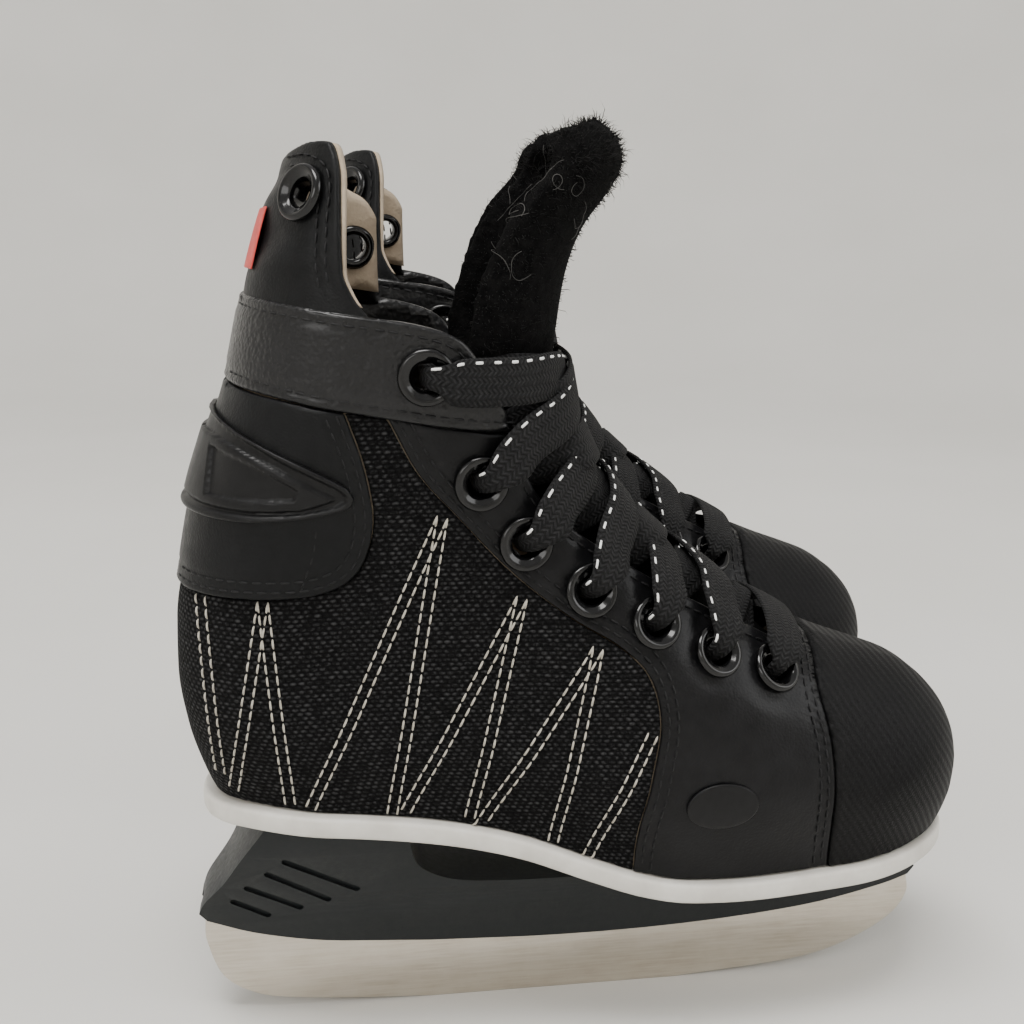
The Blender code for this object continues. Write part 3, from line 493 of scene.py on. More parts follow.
def circle(centre, r, form_frame=boot_frame, count=28):
    """A round loop on a form about one of its points."""
    p, n, pa, ph = form_frame(centre[:1], centre[1:])
    u = unit(np.cross(n, [[0, 0, 1.0]]))
    v = np.cross(n, u)
    t = np.linspace(0, 2 * math.pi, count + 1)[:-1]
    m = r * (np.cos(t)[:, None] * u + np.sin(t)[:, None] * v)
    return centre + m @ np.linalg.pinv(np.stack([pa[0], ph[0]], 1)).T


class Form:
    """A surface to lay panels on: its frame, its flattened plane and points spread over it."""

    def __init__(self, frame_at, plane, spread):
        self.frame_at, self.plane, self.spread = frame_at, plane, spread

    def at(self, points):
        return self.frame_at(points[:, 0], points[:, 1])

    def flat(self, points):
        return self.plane(points[:, 0], points[:, 1])


HEEL_FORM = Form(boot_frame, lambda a, h: flat(a, h, False), field)
TOE_FORM = Form(boot_frame, lambda a, h: flat(a, h, True), field)


def inset(loop, d, form):
    """The loop moved inwards over the surface by d mm."""
    p, n, pa, ph = form.at(loop)
    t = unit(np.roll(p, -1, axis=0) - np.roll(p, 1, axis=0))
    m = np.cross(n, t) * d
    aa, ah, hh = (pa * pa).sum(1), (pa * ph).sum(1), (ph * ph).sum(1)
    ra, rh = (pa * m).sum(1), (ph * m).sum(1)
    det = np.maximum(aa * hh - ah**2, 1e-9)
    step = np.column_stack([(hh * ra - ah * rh) / det, (aa * rh - ah * ra) / det])
    polygon = form.flat(loop)
    best = None
    for sign in (1, -1):
        moved = loop + sign * step
        hit = inside(polygon, form.flat(moved))
        if best is None or hit.sum() > best[0]:
            best = (hit.sum(), moved, hit)
    return best[1][best[2]]


def triangles(loops, free, form):
    """Triangles over the flattened region in loops[0], less the holes in the other loops."""
    points = np.vstack(loops + [free])
    plane = form.flat(points)
    edges, start = [], 0
    for loop in loops:
        n = len(loop)
        edges += [(start + i, start + (i + 1) % n) for i in range(n)]
        start += n
    outer = list(range(len(loops[0])))
    _, _, faces, origin, _, _ = delaunay_2d_cdt([Vector(p) for p in plane], edges, [outer], 1, 1e-7)
    index = [o[0] if o else -1 for o in origin]
    tri = [[index[i] for i in face] for face in faces]
    tri = np.array([t for t in tri if min(t) >= 0 and len(set(t)) == 3])
    centre = plane[tri].mean(1)
    keep = inside(plane[outer], centre)
    for loop in loops[1:]:
        keep &= ~inside(form.flat(loop), centre)
    return points, tri[keep]


ROLL_ROWS = (0.3, 0.65, 1.15)


def patch(loops, low, high, step=1.5, form=HEEL_FORM, roll=0.9, relief=None, coarse=5.0, split=None):
    """A closed panel lying on a form between two heights, with rolled edges."""
    outer = loops[0]
    seam_at = np.zeros(len(outer), bool) if split is None else split(outer)
    edge = form.at(outer)[0]
    rim = np.vstack([edge] + [form.at(l)[0] for l in loops[1:]])
    rolled = evenly(np.vstack([edge[~seam_at]] + ([] if seam_at.any() else [edge[:1]])), 0.35)
    rows = [inset(outer, d * roll, form) for d in ROLL_ROWS]

    def free_points(step, near, fine):
        free = form.spread(step)
        free = free[inside(form.flat(outer), form.flat(free))]
        free = free[gap_to(form.at(free)[0], rim) > near]
        if fine:
            kept = [row[gap_to(form.at(row)[0], edge) > 0.85 * d * roll] for d, row in zip(ROLL_ROWS, rows)]
            for l in loops[1:]:
                c = l.mean(0)
                kept += [c + (l - c) * (1 + 0.35 * k) for k in (1, 2)]
            free = np.vstack(kept + [free])
        return free

    points, tri = triangles(loops, free_points(step, 1.15 * roll + 0.35 * step, True), form)
    p, n, _, _ = form.at(points)
    d = gap_to(p, rolled)
    height = high - 0.9 * roll * (1 - np.sqrt(np.maximum(1 - (1 - np.clip(d / roll, 0, 1)) ** 2, 0)))
    if relief is not None:
        height = height + relief(p, points, d)
    below, under = triangles(loops, free_points(coarse, 0.5 * coarse, False), form)
    q, m, _, _ = form.at(below)
    depth = low(q) if callable(low) else np.full(len(q), float(low))
    faces = [tuple(t) for t in tri] + [tuple(len(p) + t[::-1]) for t in under]
    start = 0
    for loop in loops:
        c = len(loop)
        for i in range(c):
            a, b = start + i, start + (i + 1) % c
            if loop is outer and seam_at[i] and seam_at[(i + 1) % c] and abs(outer[i, 0] - outer[(i + 1) % c, 0]) < 1:
                continue
            faces.append((a, b, len(p) + b, len(p) + a))
        start += c
    cloth = np.vstack([form.flat(points), form.flat(below)])
    cloth[:, 1] = np.concatenate([p[:, 2], q[:, 2]])
    return Shape(np.vstack([p + n * height[:, None], q + m * depth[:, None]]), faces, cloth)


def grooves(lines, depth, width):
    """A relief that presses stitched lines into a panel."""
    def pressed(p, points, d):
        out = np.zeros(len(p))
        for line in lines:
            g, _ = nearest(np.asarray(line), p[:, 0], p[:, 2])
            out -= depth * np.exp(-(g / width) ** 2)
        return out
    return pressed


def dimples(places, depth, r):
    """A relief that sinks the leather round each eyelet."""
    def sunk(p, points, d):
        out = np.zeros(len(p))
        for x, z in places:
            g = np.hypot(p[:, 0] - x, p[:, 2] - z)
            out -= depth * np.exp(-((g - r) / 1.6) ** 2)
        return out
    return sunk


def both(*reliefs):
    return lambda p, points, d: sum(r(p, points, d) for r in reliefs)


def under_band(x):
    return float(x), float(np.interp(x, BAND_BOTTOM[::-1, 0], BAND_BOTTOM[::-1, 1])) - GAP


# ---- stitches ----
def stitch(points, normals, length, pause, radius, lift=0.45, sides=5):
    """A row of thread stitches along a path on the leather."""
    points, normals = np.asarray(points), np.asarray(normals)
    s = np.concatenate([[0], np.cumsum(np.linalg.norm(np.diff(points, axis=0), axis=1))])
    count = max(1, int((s[-1] + pause) / (length + pause)))
    shares = np.array([0, 0.16, 0.5, 0.84, 1.0])
    thick = np.array([0.35, 0.9, 1.0, 0.9, 0.35])
    raise_by = np.array([-0.35, 0.25, 0.5, 0.25, -0.35]) * 2 * lift
    out = []
    ring = 2 * math.pi * np.arange(sides) / sides
    for i in range(count):
        q = i * (length + pause) + shares * length
        c = np.column_stack([np.interp(q, s, points[:, j]) for j in range(3)])
        n = unit(np.column_stack([np.interp(q, s, normals[:, j]) for j in range(3)]))
        t = unit(np.gradient(c, axis=0))
        b = np.cross(t, n)
        c = c + n * (raise_by * radius)[:, None]
        r = radius * thick
        loops = c[:, None] + r[:, None, None] * (np.cos(ring)[None, :, None] * b[:, None]
                                                  + np.sin(ring)[None, :, None] * n[:, None])
        faces = []
        for k in range(4):
            for m in range(sides):
                w = (m + 1) % sides
                faces.append((k * sides + m, k * sides + w, (k + 1) * sides + w, (k + 1) * sides + m))
        faces.append(tuple(range(sides))[::-1])
        faces.append(tuple(range(4 * sides, 5 * sides)))
        out.append(Shape(loops.reshape(-1, 3), faces))
    return gather(out)


def seam(line, side, off):
    """A side-view line laid on one side of the boot: points and normals."""
    p = evenly(line, 0.8)
    a, h, k = locate(p[:, 0], p[:, 1])
    keep = (k > 0.0) & (k < 1.0)
    q, n, _, _ = boot_frame(a[keep] * side, h[keep])
    return q + off * n, n


def seams(line, off, **how):
    return gather(stitch(*seam(line, side, off), **how) for side in (-1, 1))


# ---- node materials ----
class Paint:
    """A material's node tree, with short ways to add to it."""

    def __init__(self, name, rough=0.5, **sockets):
        self.mat = bpy.data.materials.new(name)
        self.mat.use_nodes = True
        self.tree = self.mat.node_tree
        self.shader = self.tree.nodes["Principled BSDF"]
        self.shader.inputs["Roughness"].default_value = rough
        for key, value in sockets.items():
            self.shader.inputs[key.replace("_", " ")].default_value = value
        self.where = self.tree.nodes.new("ShaderNodeTexCoord").outputs["Object"]
        uv = self.tree.nodes.new("ShaderNodeUVMap")
        uv.uv_map = "cloth"
        self.cloth = uv.outputs["UV"]
        self.bumps = None

    def put(self, socket, value):
        if isinstance(value, bpy.types.NodeSocket):
            self.tree.links.new(value, socket)
        elif value is not None:
            socket.default_value = value

    def node(self, kind, out=0, **inputs):
        n = self.tree.nodes.new("ShaderNode" + kind)
        for key, value in inputs.items():
            if key.startswith("set_"):
                setattr(n, key[4:], value)
        for key, value in inputs.items():
            if not key.startswith("set_"):
                self.put(n.inputs[int(key[1:]) if key[0] == "i" and key[1:].isdigit()
                                  else key.replace("_", " ")], value)
        return n.outputs[out]

    def noise(self, scale, detail=3.0, rough=0.5, at=None):
        return self.node("TexNoise", Vector=at or self.where, Scale=scale, Detail=detail, Roughness=rough)

    def cells(self, scale, at=None, feature="F1", out="Distance"):
        return self.node("TexVoronoi", out=out, set_feature=feature, Vector=at or self.where, Scale=scale)

    def math(self, op, a, b=None, c=None):
        return self.node("Math", set_operation=op, i0=a, i1=b, i2=c)

    def ramp(self, value, low, high, to_low=0.0, to_high=1.0):
        return self.node("MapRange", Value=value, From_Min=low, From_Max=high, To_Min=to_low, To_Max=to_high)

    def mix(self, share, a, b):
        n = self.tree.nodes.new("ShaderNodeMix")
        n.data_type = "RGBA"
        self.put(n.inputs[0], share)
        self.put(n.inputs[6], (*a, 1) if isinstance(a, tuple) else a)
        self.put(n.inputs[7], (*b, 1) if isinstance(b, tuple) else b)
        return n.outputs[2]

    def colour(self, value):
        self.put(self.shader.inputs["Base Color"], (*value, 1) if isinstance(value, tuple) else value)

    def rough(self, value):
        self.put(self.shader.inputs["Roughness"], value)

    def bump(self, height, distance, strength=1.0):
        n = self.tree.nodes.new("ShaderNodeBump")
        n.inputs["Strength"].default_value = strength
        n.inputs["Distance"].default_value = distance / 1000
        self.tree.links.new(height, n.inputs["Height"])
        if self.bumps:
            self.tree.links.new(self.bumps, n.inputs["Normal"])
        self.bumps = n.outputs["Normal"]
        self.tree.links.new(self.bumps, self.shader.inputs["Normal"])

    def apart(self, vector):
        n = self.tree.nodes.new("ShaderNodeSeparateXYZ")
        self.tree.links.new(vector, n.inputs[0])
        return n.outputs


def leather(name, grain, depth, rough, dark=(0.003, 0.003, 0.0034), light=(0.0085, 0.0085, 0.0095), sheen=0.0):
    """Black leather: fine pebble grain, soft mottling and rubbed high spots."""
    m = Paint(name, Specular_IOR_Level=0.13, Coat_Weight=sheen, Coat_Roughness=0.22)
    big = m.noise(55, 4, 0.6)
    worn = m.noise(260, 5, 0.65)
    m.colour(m.mix(m.ramp(m.math("MULTIPLY", big, worn), 0.16, 0.46), dark, light))
    m.rough(m.ramp(worn, 0.3, 0.75, rough - 0.07, rough + 0.12))
    m.bump(m.cells(grain, feature="SMOOTH_F1"), depth, 0.9)
    m.bump(m.noise(grain * 0.42, 4, 0.6), depth * 1.4, 0.6)
    m.bump(m.noise(120, 3, 0.5), 0.35, 0.35)
    return m.mat


def woven(name):
    """Coarse black mesh: staggered oval yarns with grey flecks in the gaps."""
    m = Paint(name, rough=0.8, Specular_IOR_Level=0.12)
    x, y, _ = m.apart(m.cloth)
    x = m.math("ADD", x, m.ramp(m.noise(90, 2, 0.5), 0, 1, -0.5, 0.5))
    y = m.math("ADD", y, m.ramp(m.noise(70, 2, 0.5), 0, 1, -0.4, 0.4))
    row = m.math("DIVIDE", y, 1.05)
    odd = m.math("MODULO", m.math("FLOOR", row), 2.0)
    col = m.math("ADD", m.math("DIVIDE", x, 1.9), m.math("MULTIPLY", m.math("ABSOLUTE", odd), 0.5))
    du = m.math("ABSOLUTE", m.math("SUBTRACT", m.math("FRACT", col), 0.5))
    dv = m.math("ABSOLUTE", m.math("SUBTRACT", m.math("FRACT", row), 0.5))
    yarn = m.math("SUBTRACT", 1.0, m.math("SQRT", m.math("ADD",
        m.math("POWER", m.math("MULTIPLY", du, 2.0), 2.0), m.math("POWER", m.math("MULTIPLY", dv, 2.0), 2.0))))
    fleck = m.math("MULTIPLY", m.ramp(yarn, 0.05, 0.7), m.ramp(m.noise(900, 2, 0.6), 0.42, 0.66))
    m.colour(m.mix(fleck, (0.0016, 0.0016, 0.0018), (0.046, 0.046, 0.048)))
    m.rough(m.ramp(yarn, 0.0, 0.8, 0.9, 0.62))
    m.bump(yarn, 0.55, 1.0)
    m.bump(m.noise(2600, 3, 0.6), 0.12, 0.6)
    return m.mat


def braid(name):
    """Flat black lace webbing: slanted ribs that meet in chevrons, with a painted highlight on the rib crests and
    painted shade in the grooves and along the folds.
    """
    m = Paint(name, rough=0.85, Specular_IOR_Level=0.25)
    x, y, _ = m.apart(m.cloth)
    fold = m.math("ABSOLUTE", m.math("SUBTRACT", m.math("FRACT", m.math("DIVIDE", y, 2.4)), 0.5))
    rib = m.math("ADD", m.math("DIVIDE", x, 1.25), m.math("MULTIPLY", fold, 1.6))
    rib = m.math("ABSOLUTE", m.math("SUBTRACT", m.math("FRACT", rib), 0.5))
    rib = m.math("SUBTRACT", 1.0, m.math("MULTIPLY", rib, 2.0))
    # rib height for the bump, also the mask of the painted highlight and painted shade below
    cell = m.math("MULTIPLY", rib, m.ramp(fold, 0.0, 0.16, 0.35, 1.0))
    fuzz = m.noise(1500, 3, 0.7)
    # painted light: lighter on the rib crests (painted highlight), darker in the grooves and fold lines (painted
    # shade); the fuzz noise varies it at random
    m.colour(m.mix(m.math("MULTIPLY", cell, m.ramp(fuzz, 0.3, 0.75)), (0.0010, 0.0010, 0.0012),
                   (0.030, 0.030, 0.032)))
    m.bump(cell, 0.4, 1.0)
    m.bump(fuzz, 0.12, 0.7)
    return m.mat


def pile(name):
    """Brushed black felt."""
    m = Paint(name, rough=0.97, Specular_IOR_Level=0.08)
    clump = m.noise(420, 5, 0.75)
    m.colour(m.mix(m.ramp(clump, 0.42, 0.72), (0.0014, 0.0014, 0.0015), (0.0075, 0.0073, 0.0073)))
    m.bump(clump, 0.9, 0.9)
    m.bump(m.noise(1900, 4, 0.7), 0.3, 0.8)
    return m.mat


def plain(name, colour, other, rough, scale=400, depth=0.05, spread=(0.35, 0.7), **sockets):
    """A quiet surface: two close tones, fine bump and uneven gloss."""
    m = Paint(name, **sockets)
    tone = m.noise(scale, 4, 0.6)
    m.colour(m.mix(m.ramp(tone, *spread), colour, other))
    m.rough(m.ramp(m.noise(scale * 0.4, 4, 0.6), 0.3, 0.7, rough - 0.05, rough + 0.08))
    m.bump(m.noise(scale * 4, 3, 0.6), depth, 0.6)
    return m.mat


def suede(name):
    """Tan lining leather, a little soiled."""
    m = Paint(name, rough=0.82, Sheen_Weight=0.1, Specular_IOR_Level=0.3)
    m.colour(m.mix(m.ramp(m.noise(60, 5, 0.65), 0.3, 0.7), (0.30, 0.235, 0.165), (0.50, 0.41, 0.31)))
    m.bump(m.cells(1500, feature="SMOOTH_F1"), 0.12, 0.6)
    m.bump(m.noise(2500, 3, 0.6), 0.1, 0.6)
    return m.mat


def toe_rubber(name):
    """Black textured rubber: fine curved ribs over a grain."""
    m = Paint(name, rough=0.62, Specular_IOR_Level=0.14)
    x, y, z = m.apart(m.where)
    band = m.math("ADD", m.math("MULTIPLY", x, 520.0), m.math("MULTIPLY", z, 330.0))
    band = m.math("ADD", band, m.ramp(m.noise(60, 2, 0.4), 0, 1, -0.35, 0.35))
    rib = m.math("ABSOLUTE", m.math("SUBTRACT", m.math("FRACT", band), 0.5))
    speck = m.noise(1400, 3, 0.6)
    m.colour(m.mix(m.ramp(speck, 0.35, 0.75), (0.002, 0.002, 0.0022), (0.0075, 0.0075, 0.008)))
    m.rough(m.ramp(rib, 0.0, 0.5, 0.5, 0.72))
    m.bump(rib, 0.22, 0.8)
    m.bump(m.cells(2100, feature="SMOOTH_F1"), 0.2, 0.7)
    return m.mat


def steel(name):
    """Satin runner steel: warm grey with drawn scratches along its length."""
    m = Paint(name, rough=0.34, Metallic=0.85, Anisotropic=0.5)
    x, y, z = m.apart(m.where)
    join = m.tree.nodes.new("ShaderNodeCombineXYZ")
    m.put(join.inputs[0], m.math("MULTIPLY", x, 0.05))
    m.put(join.inputs[1], m.math("MULTIPLY", y, 1.0))
    m.put(join.inputs[2], m.math("MULTIPLY", z, 1.0))
    drawn = m.noise(1800, 4, 0.6, at=join.outputs[0])
    stain = m.noise(90, 4, 0.6)
    tone = m.mix(m.ramp(stain, 0.35, 0.7), (0.60, 0.545, 0.465), (0.50, 0.44, 0.36))
    m.colour(m.mix(m.ramp(drawn, 0.3, 0.75), tone, (0.68, 0.635, 0.56)))
    m.rough(m.ramp(drawn, 0.3, 0.7, 0.34, 0.52))
    m.bump(drawn, 0.03, 0.5)
    return m.mat


def moulded(name):
    """Charcoal moulded plastic."""
    m = Paint(name, Specular_IOR_Level=0.28)
    fine = m.noise(700, 4, 0.6)
    m.colour(m.mix(m.ramp(m.noise(40, 4, 0.6), 0.3, 0.7), (0.0065, 0.0085, 0.0092), (0.0115, 0.0135, 0.0145)))
    m.rough(m.ramp(fine, 0.3, 0.7, 0.42, 0.56))
    m.bump(m.noise(1600, 3, 0.6), 0.05, 0.6)
    return m.mat



SMOOTH_LEATHER = leather("smooth_leather", 1700, 0.10, 0.40, sheen=0.10)
PEBBLE_LEATHER = leather("pebbled_leather", 1000, 0.5, 0.34, sheen=0.42)
COUNTER_LEATHER = leather("counter_leather", 1900, 0.07, 0.38, dark=(0.0035, 0.0038, 0.0042),
                          light=(0.0075, 0.0078, 0.0085), sheen=0.05)
GUARD_LEATHER = leather("guard_leather", 1800, 0.08, 0.42, dark=(0.004, 0.0042, 0.0045),
                        light=(0.0085, 0.0088, 0.0095), sheen=0.04)
MESH_CLOTH = woven("coarse_mesh")
RIBBON = braid("lace_webbing")
FELT = pile("tongue_felt")
FIBRE = plain("felt_fibre", (0.0025, 0.0025, 0.0025), (0.012, 0.0115, 0.011), 0.8, scale=300,
              Specular_IOR_Level=0.2)
STRAY = plain("stray_fibre", (0.022, 0.021, 0.020), (0.13, 0.125, 0.12), 0.7, scale=300)
TAN = suede("tan_leather")
CREAM = plain("cream_edge", (0.42, 0.36, 0.28), (0.58, 0.52, 0.43), 0.75, scale=500, depth=0.12)
TOE = toe_rubber("toe_rubber")
BADGE = plain("badge_rubber", (0.0028, 0.0028, 0.0032), (0.006, 0.006, 0.0065), 0.36, scale=500,
              Specular_IOR_Level=0.22)
GLOSS = plain("eyelet_gloss", (0.0012, 0.0012, 0.0014), (0.0025, 0.0025, 0.0028), 0.16, scale=120,
              depth=0.01, Specular_IOR_Level=0.25, Coat_Weight=0.32, Coat_Roughness=0.04)
WHITE_THREAD = plain("white_thread", (0.36, 0.33, 0.275), (0.56, 0.53, 0.465), 0.75, scale=900, depth=0.12)
DASH_THREAD = plain("dash_thread", (0.78, 0.78, 0.77), (0.90, 0.90, 0.89), 0.7, scale=900, depth=0.12)
BLACK_THREAD = plain("black_thread", (0.0025, 0.0025, 0.003), (0.009, 0.009, 0.010), 0.6, scale=900, depth=0.1,
                     Specular_IOR_Level=0.3)
SOLE_FOAM = plain("sole_foam", (0.59, 0.565, 0.515), (0.72, 0.70, 0.65), 0.5, scale=90, depth=0.06)
BOARD = plain("insole_board", (0.24, 0.20, 0.15), (0.34, 0.29, 0.22), 0.85, scale=300, depth=0.1)
RED_PRINT = plain("red_patch", (0.48, 0.040, 0.035), (0.62, 0.075, 0.060), 0.5, scale=300)
STEEL = steel("runner_steel")
PLASTIC = moulded("holder_plastic")


# ---- camera, light and floor ----
def near_right(x, y, z):
    """A world point from the right skate's own frame."""
    return Vector((np.array([x, y, z]) + SKATES["right_"][0]) / 1000)


camera = bpy.data.objects.new("camera", bpy.data.cameras.new("camera"))
bpy.context.scene.collection.objects.link(camera)
camera.data.lens = 49.2
camera.data.sensor_width = 36.0
camera.location = near_right(35.4, -324.5, 206.3)
TURN, TILT = math.radians(8.0), math.radians(13.5)
aim = Vector((math.sin(TURN) * math.cos(TILT), math.cos(TURN) * math.cos(TILT), -math.sin(TILT)))
camera.rotation_mode = "QUATERNION"
camera.rotation_quaternion = aim.to_track_quat("-Z", "Y")
camera.data.clip_start = 0.01
bpy.context.scene.camera = camera


def lamp(name, place, target, size, power, colour=(1, 1, 1)):
    data = bpy.data.lights.new(name, "AREA")
    data.shape = "RECTANGLE"
    data.size, data.size_y = size
    data.energy = power
    data.color = colour
    ob = bpy.data.objects.new(name, data)
    ob.location = place
    ob.rotation_mode = "QUATERNION"
    ob.rotation_quaternion = (Vector(target) - Vector(place)).to_track_quat("-Z", "Y")
    bpy.context.scene.collection.objects.link(ob)


CENTRE = (0.0, 0.0, 0.09)
lamp("ceiling", (-0.25, -0.35, 1.5), CENTRE, (0.9, 0.5), 22.5, (1.0, 0.985, 0.96))
lamp("front_fill", (-0.9, -1.3, 0.75), CENTRE, (1.1, 0.9), 13.0, (1.0, 0.99, 0.975))
lamp("side_fill", (1.35, -0.5, 0.8), CENTRE, (0.8, 0.8), 7.5, (0.98, 0.99, 1.0))

world = bpy.data.worlds.new("studio")
bpy.context.scene.world = world
world.use_nodes = True
world.node_tree.nodes["Background"].inputs[0].default_value = (0.80, 0.785, 0.76, 1)
world.node_tree.nodes["Background"].inputs[1].default_value = 0.92


def sweep_floor():
    """A pale floor that rises all round into a low soft wall."""
    profile = [(0, 0), (0.35, 0), (0.7, 0)] + [
        (0.9 + 0.75 * math.sin(t), 0.75 - 0.75 * math.cos(t)) for t in np.linspace(0, math.pi / 2, 14)]
    profile += [(1.66, 1.0), (1.67, 1.35)]
    n = 96
    verts, faces = [(0, 0, 0)], []
    for r, z in profile[1:]:
        for k in range(n):
            t = 2 * math.pi * k / n
            verts.append((r * math.cos(t), r * math.sin(t), z))
    for k in range(n):
        faces.append((0, 1 + k, 1 + (k + 1) % n))
    for r in range(len(profile) - 2):
        for k in range(n):
            a, b = 1 + r * n + k, 1 + r * n + (k + 1) % n
            faces.append((a, b, b + n, a + n))
    mesh = bpy.data.meshes.new("floor")
    mesh.from_pydata(verts, [], faces)
    bm = bmesh.new()
    bm.from_mesh(mesh)
    bmesh.ops.recalc_face_normals(bm, faces=bm.faces)
    for f in bm.faces:
        f.smooth = True
    bm.to_mesh(mesh)
    bm.free()
    ob = bpy.data.objects.new("floor", mesh)
    bpy.context.scene.collection.objects.link(ob)
    m = Paint("floor_cloth", rough=0.9)
    m.colour(m.mix(m.ramp(m.noise(5, 3, 0.5), 0.3, 0.7), (0.66, 0.65, 0.62), (0.70, 0.69, 0.665)))
    m.bump(m.noise(900, 2, 0.5), 0.05, 0.4)
    mesh.materials.append(m.mat)


sweep_floor()

# ---- boot panels ----
HOLES = {side: [hole(x, z, side, HOLE_R) for x, z in EYELETS] for side in (-1, 1)}
BOTTOM = 36.0

facing_in = shifted(FACING_EDGE, 0.15)
vamp_top = [under_band(x) for x in (facing_in[0, 0], 61, 69, 76.8)]
throat = THROAT[(THROAT[:, 1] < 150.8)]
toe_in = shifted(TOE_SEAM, -0.15)
# one half: up the facing edge from the sole, along under the band, down the throat to the ridge
vamp_half = joined(facing_in[::-1], vamp_top[1:], throat[:-3])
FACING_STITCH = [shifted(FACING_EDGE, 1.9), shifted(FACING_EDGE, 4.1)]
TOE_STITCH = [shifted(TOE_SEAM, -2.0), shifted(TOE_SEAM, -4.0)]
THROAT_STITCH = shifted(THROAT[THROAT[:, 1] < 150], -1.9)


def vamp_loop():
    """The vamp goes over the instep, so its loop runs over both sides and along the toe seam."""
    half = half_line(vamp_half)
    keep = half[half[:, 0] < 0.9999]
    low = half_line(toe_in)
    low = low[low[:, 0] < 0.9999]
    crest = locate(np.array([155.3]), np.array([96.6]))[1][0]
    sole_run = half_line(np.array([(155.4, BOTTOM), (106.0, BOTTOM)]))
    near_t = keep * [-1, 1]
    near_s = low * [-1, 1]
    ridge_top = locate(np.array([RIDGE(98.2) - 0.01]), np.array([98.2]))[1][0]
    far_s = low[::-1]
    loop = np.vstack([near_t, [[1.0, ridge_top]], keep[::-1], (sole_run[::-1])[1:-1],
                      far_s, [[1.0, crest]], near_s, (sole_run * [-1, 1])[1:-1]])
    loop[:, 0] %= 2
    keep = [i for i in range(len(loop)) if np.abs(loop[i] - loop[i - 1]).max() > 1e-4]
    return loop[keep]


def toe_mod(loops):
    return [np.column_stack([l[:, 0] % 2, l[:, 1]]) for l in loops]


VAMP_CREASES = [np.array([(118, 96), (122, 88), (121, 80)]), np.array([(134, 90), (138, 82), (137, 76)])]


def vamp_relief(p, points, d):
    out = grooves(FACING_STITCH + TOE_STITCH + [THROAT_STITCH], 0.28, 0.75)(p, points, d)
    out += dimples(EYELETS[1:], 0.35, 6.6)(p, points, d)
    wave = np.sin(p[:, 0] * 0.21 + 1.3 * np.sin(p[:, 2] * 0.13)) * np.sin(p[:, 2] * 0.17 + p[:, 0] * 0.05)
    return out + 0.22 * wave * np.clip(d / 6, 0, 1)


vamp = patch([vamp_loop()] + toe_mod(HOLES[-1][1:] + HOLES[1][1:]), -LEATHER, 0.0, 1.35, TOE_FORM,
             relief=vamp_relief)
piece(vamp, "vamp_leather", SMOOTH_LEATHER, stands_for=("vamp_outer", "vamp_inner"))

# ankle band
BAND = joined(BAND_TOP, BAND_FRONT[1:], BAND_BOTTOM[1:])
BAND_STITCH = [shifted(BAND_TOP, -2.3), shifted(BAND_BOTTOM, -2.3)]


def band_low(q):
    """The band stands clear of the guard that is tucked in behind it."""
    return -LEATHER + (LEATHER + 0.1) * smooth(174, 176.5, q[:, 2]) * (1 - smooth(49, 54, q[:, 0]))


band = patch([wrapped(BAND), HOLES[-1][0], HOLES[1][0]], band_low, 0.9, 1.25, roll=1.3, coarse=2.2,
             relief=both(grooves(BAND_STITCH, 0.45, 0.9), dimples(EYELETS[:1], 0.4, 6.6)))
piece(band, "ankle_band_leather", PEBBLE_LEATHER, stands_for=("ankle_band",))

# heel counter
edge = shifted(COUNTER_EDGE, -0.15)
COUNTER_STITCH = [shifted(COUNTER_EDGE, -1.8), shifted(COUNTER_EDGE, -4.0)]
REAR_SEAM = np.array([(30.5, 118), (33.5, 126), (34.5, 133)])
top = [under_band(x) for x in (-14, 12, 28, edge[0, 0])]
counter = patch([wrapped(joined(top, edge[1:]))], -LEATHER, 0.6, 1.5,
                relief=grooves(COUNTER_STITCH, 0.3, 0.75))
piece(counter, "heel_counter_leather", COUNTER_LEATHER, stands_for=("heel_counter",))

# fabric side
edge = shifted(COUNTER_EDGE, 0.15)
facing = shifted(FACING_EDGE, -0.15)
top = [under_band(x) for x in (edge[0, 0], facing[0, 0])]
side = patch([wrapped(joined(edge[1:][::-1], top, facing[1:], [(-14, BOTTOM)]))], -LEATHER, -0.7, 1.5,
             roll=0.6)
piece(side, "side_mesh_cloth", MESH_CLOTH, stands_for=("side_fabric",))

# toe cap
toe_out = shifted(TOE_SEAM, 0.15)
cap = patch([wrapped(joined(toe_out, [(215, BOTTOM)]), toe=True)], -LEATHER, 0.5, 1.35, TOE_FORM, roll=1.2,
            relief=grooves([shifted(TOE_SEAM, 2.4)], 0.2, 0.8))
piece(cap, "toe_cap_rubber", TOE, stands_for=("toe_cap",))

# lining, one piece all round
half = half_line(LINING_EDGE, 1.2)
half[-1, 0] = 1.0
drop = np.column_stack([np.ones(24), np.linspace(half[-1, 1], 0, 26)[1:-1]])
base = np.column_stack([np.linspace(1, -1, 240), np.zeros(240)])
lining_loop = np.vstack([half, drop, base, (drop * [-1, 1])[::-1], (half * [-1, 1])[::-1][:-1]])
lining = patch([lining_loop], LINING_IN, LINING_OUT, 3.0, roll=0.7, coarse=3.0,
               split=lambda l: np.abs(l[:, 0]) > 1 - 1e-6)
piece(lining, "boot_lining", TAN, stands_for=("lining_heel", "lining_outer", "lining_inner"),
      weld=0.02)


# ---- badge, emblem and small marks ----
def tube_relief(line, height, r):
    """A raised cord along a line in the side view."""
    def raised(p, points, d):
        g, _ = nearest(np.asarray(line), p[:, 0], p[:, 2])
        return height * np.sqrt(np.maximum(1 - (g / r) ** 2, 0))
    return raised


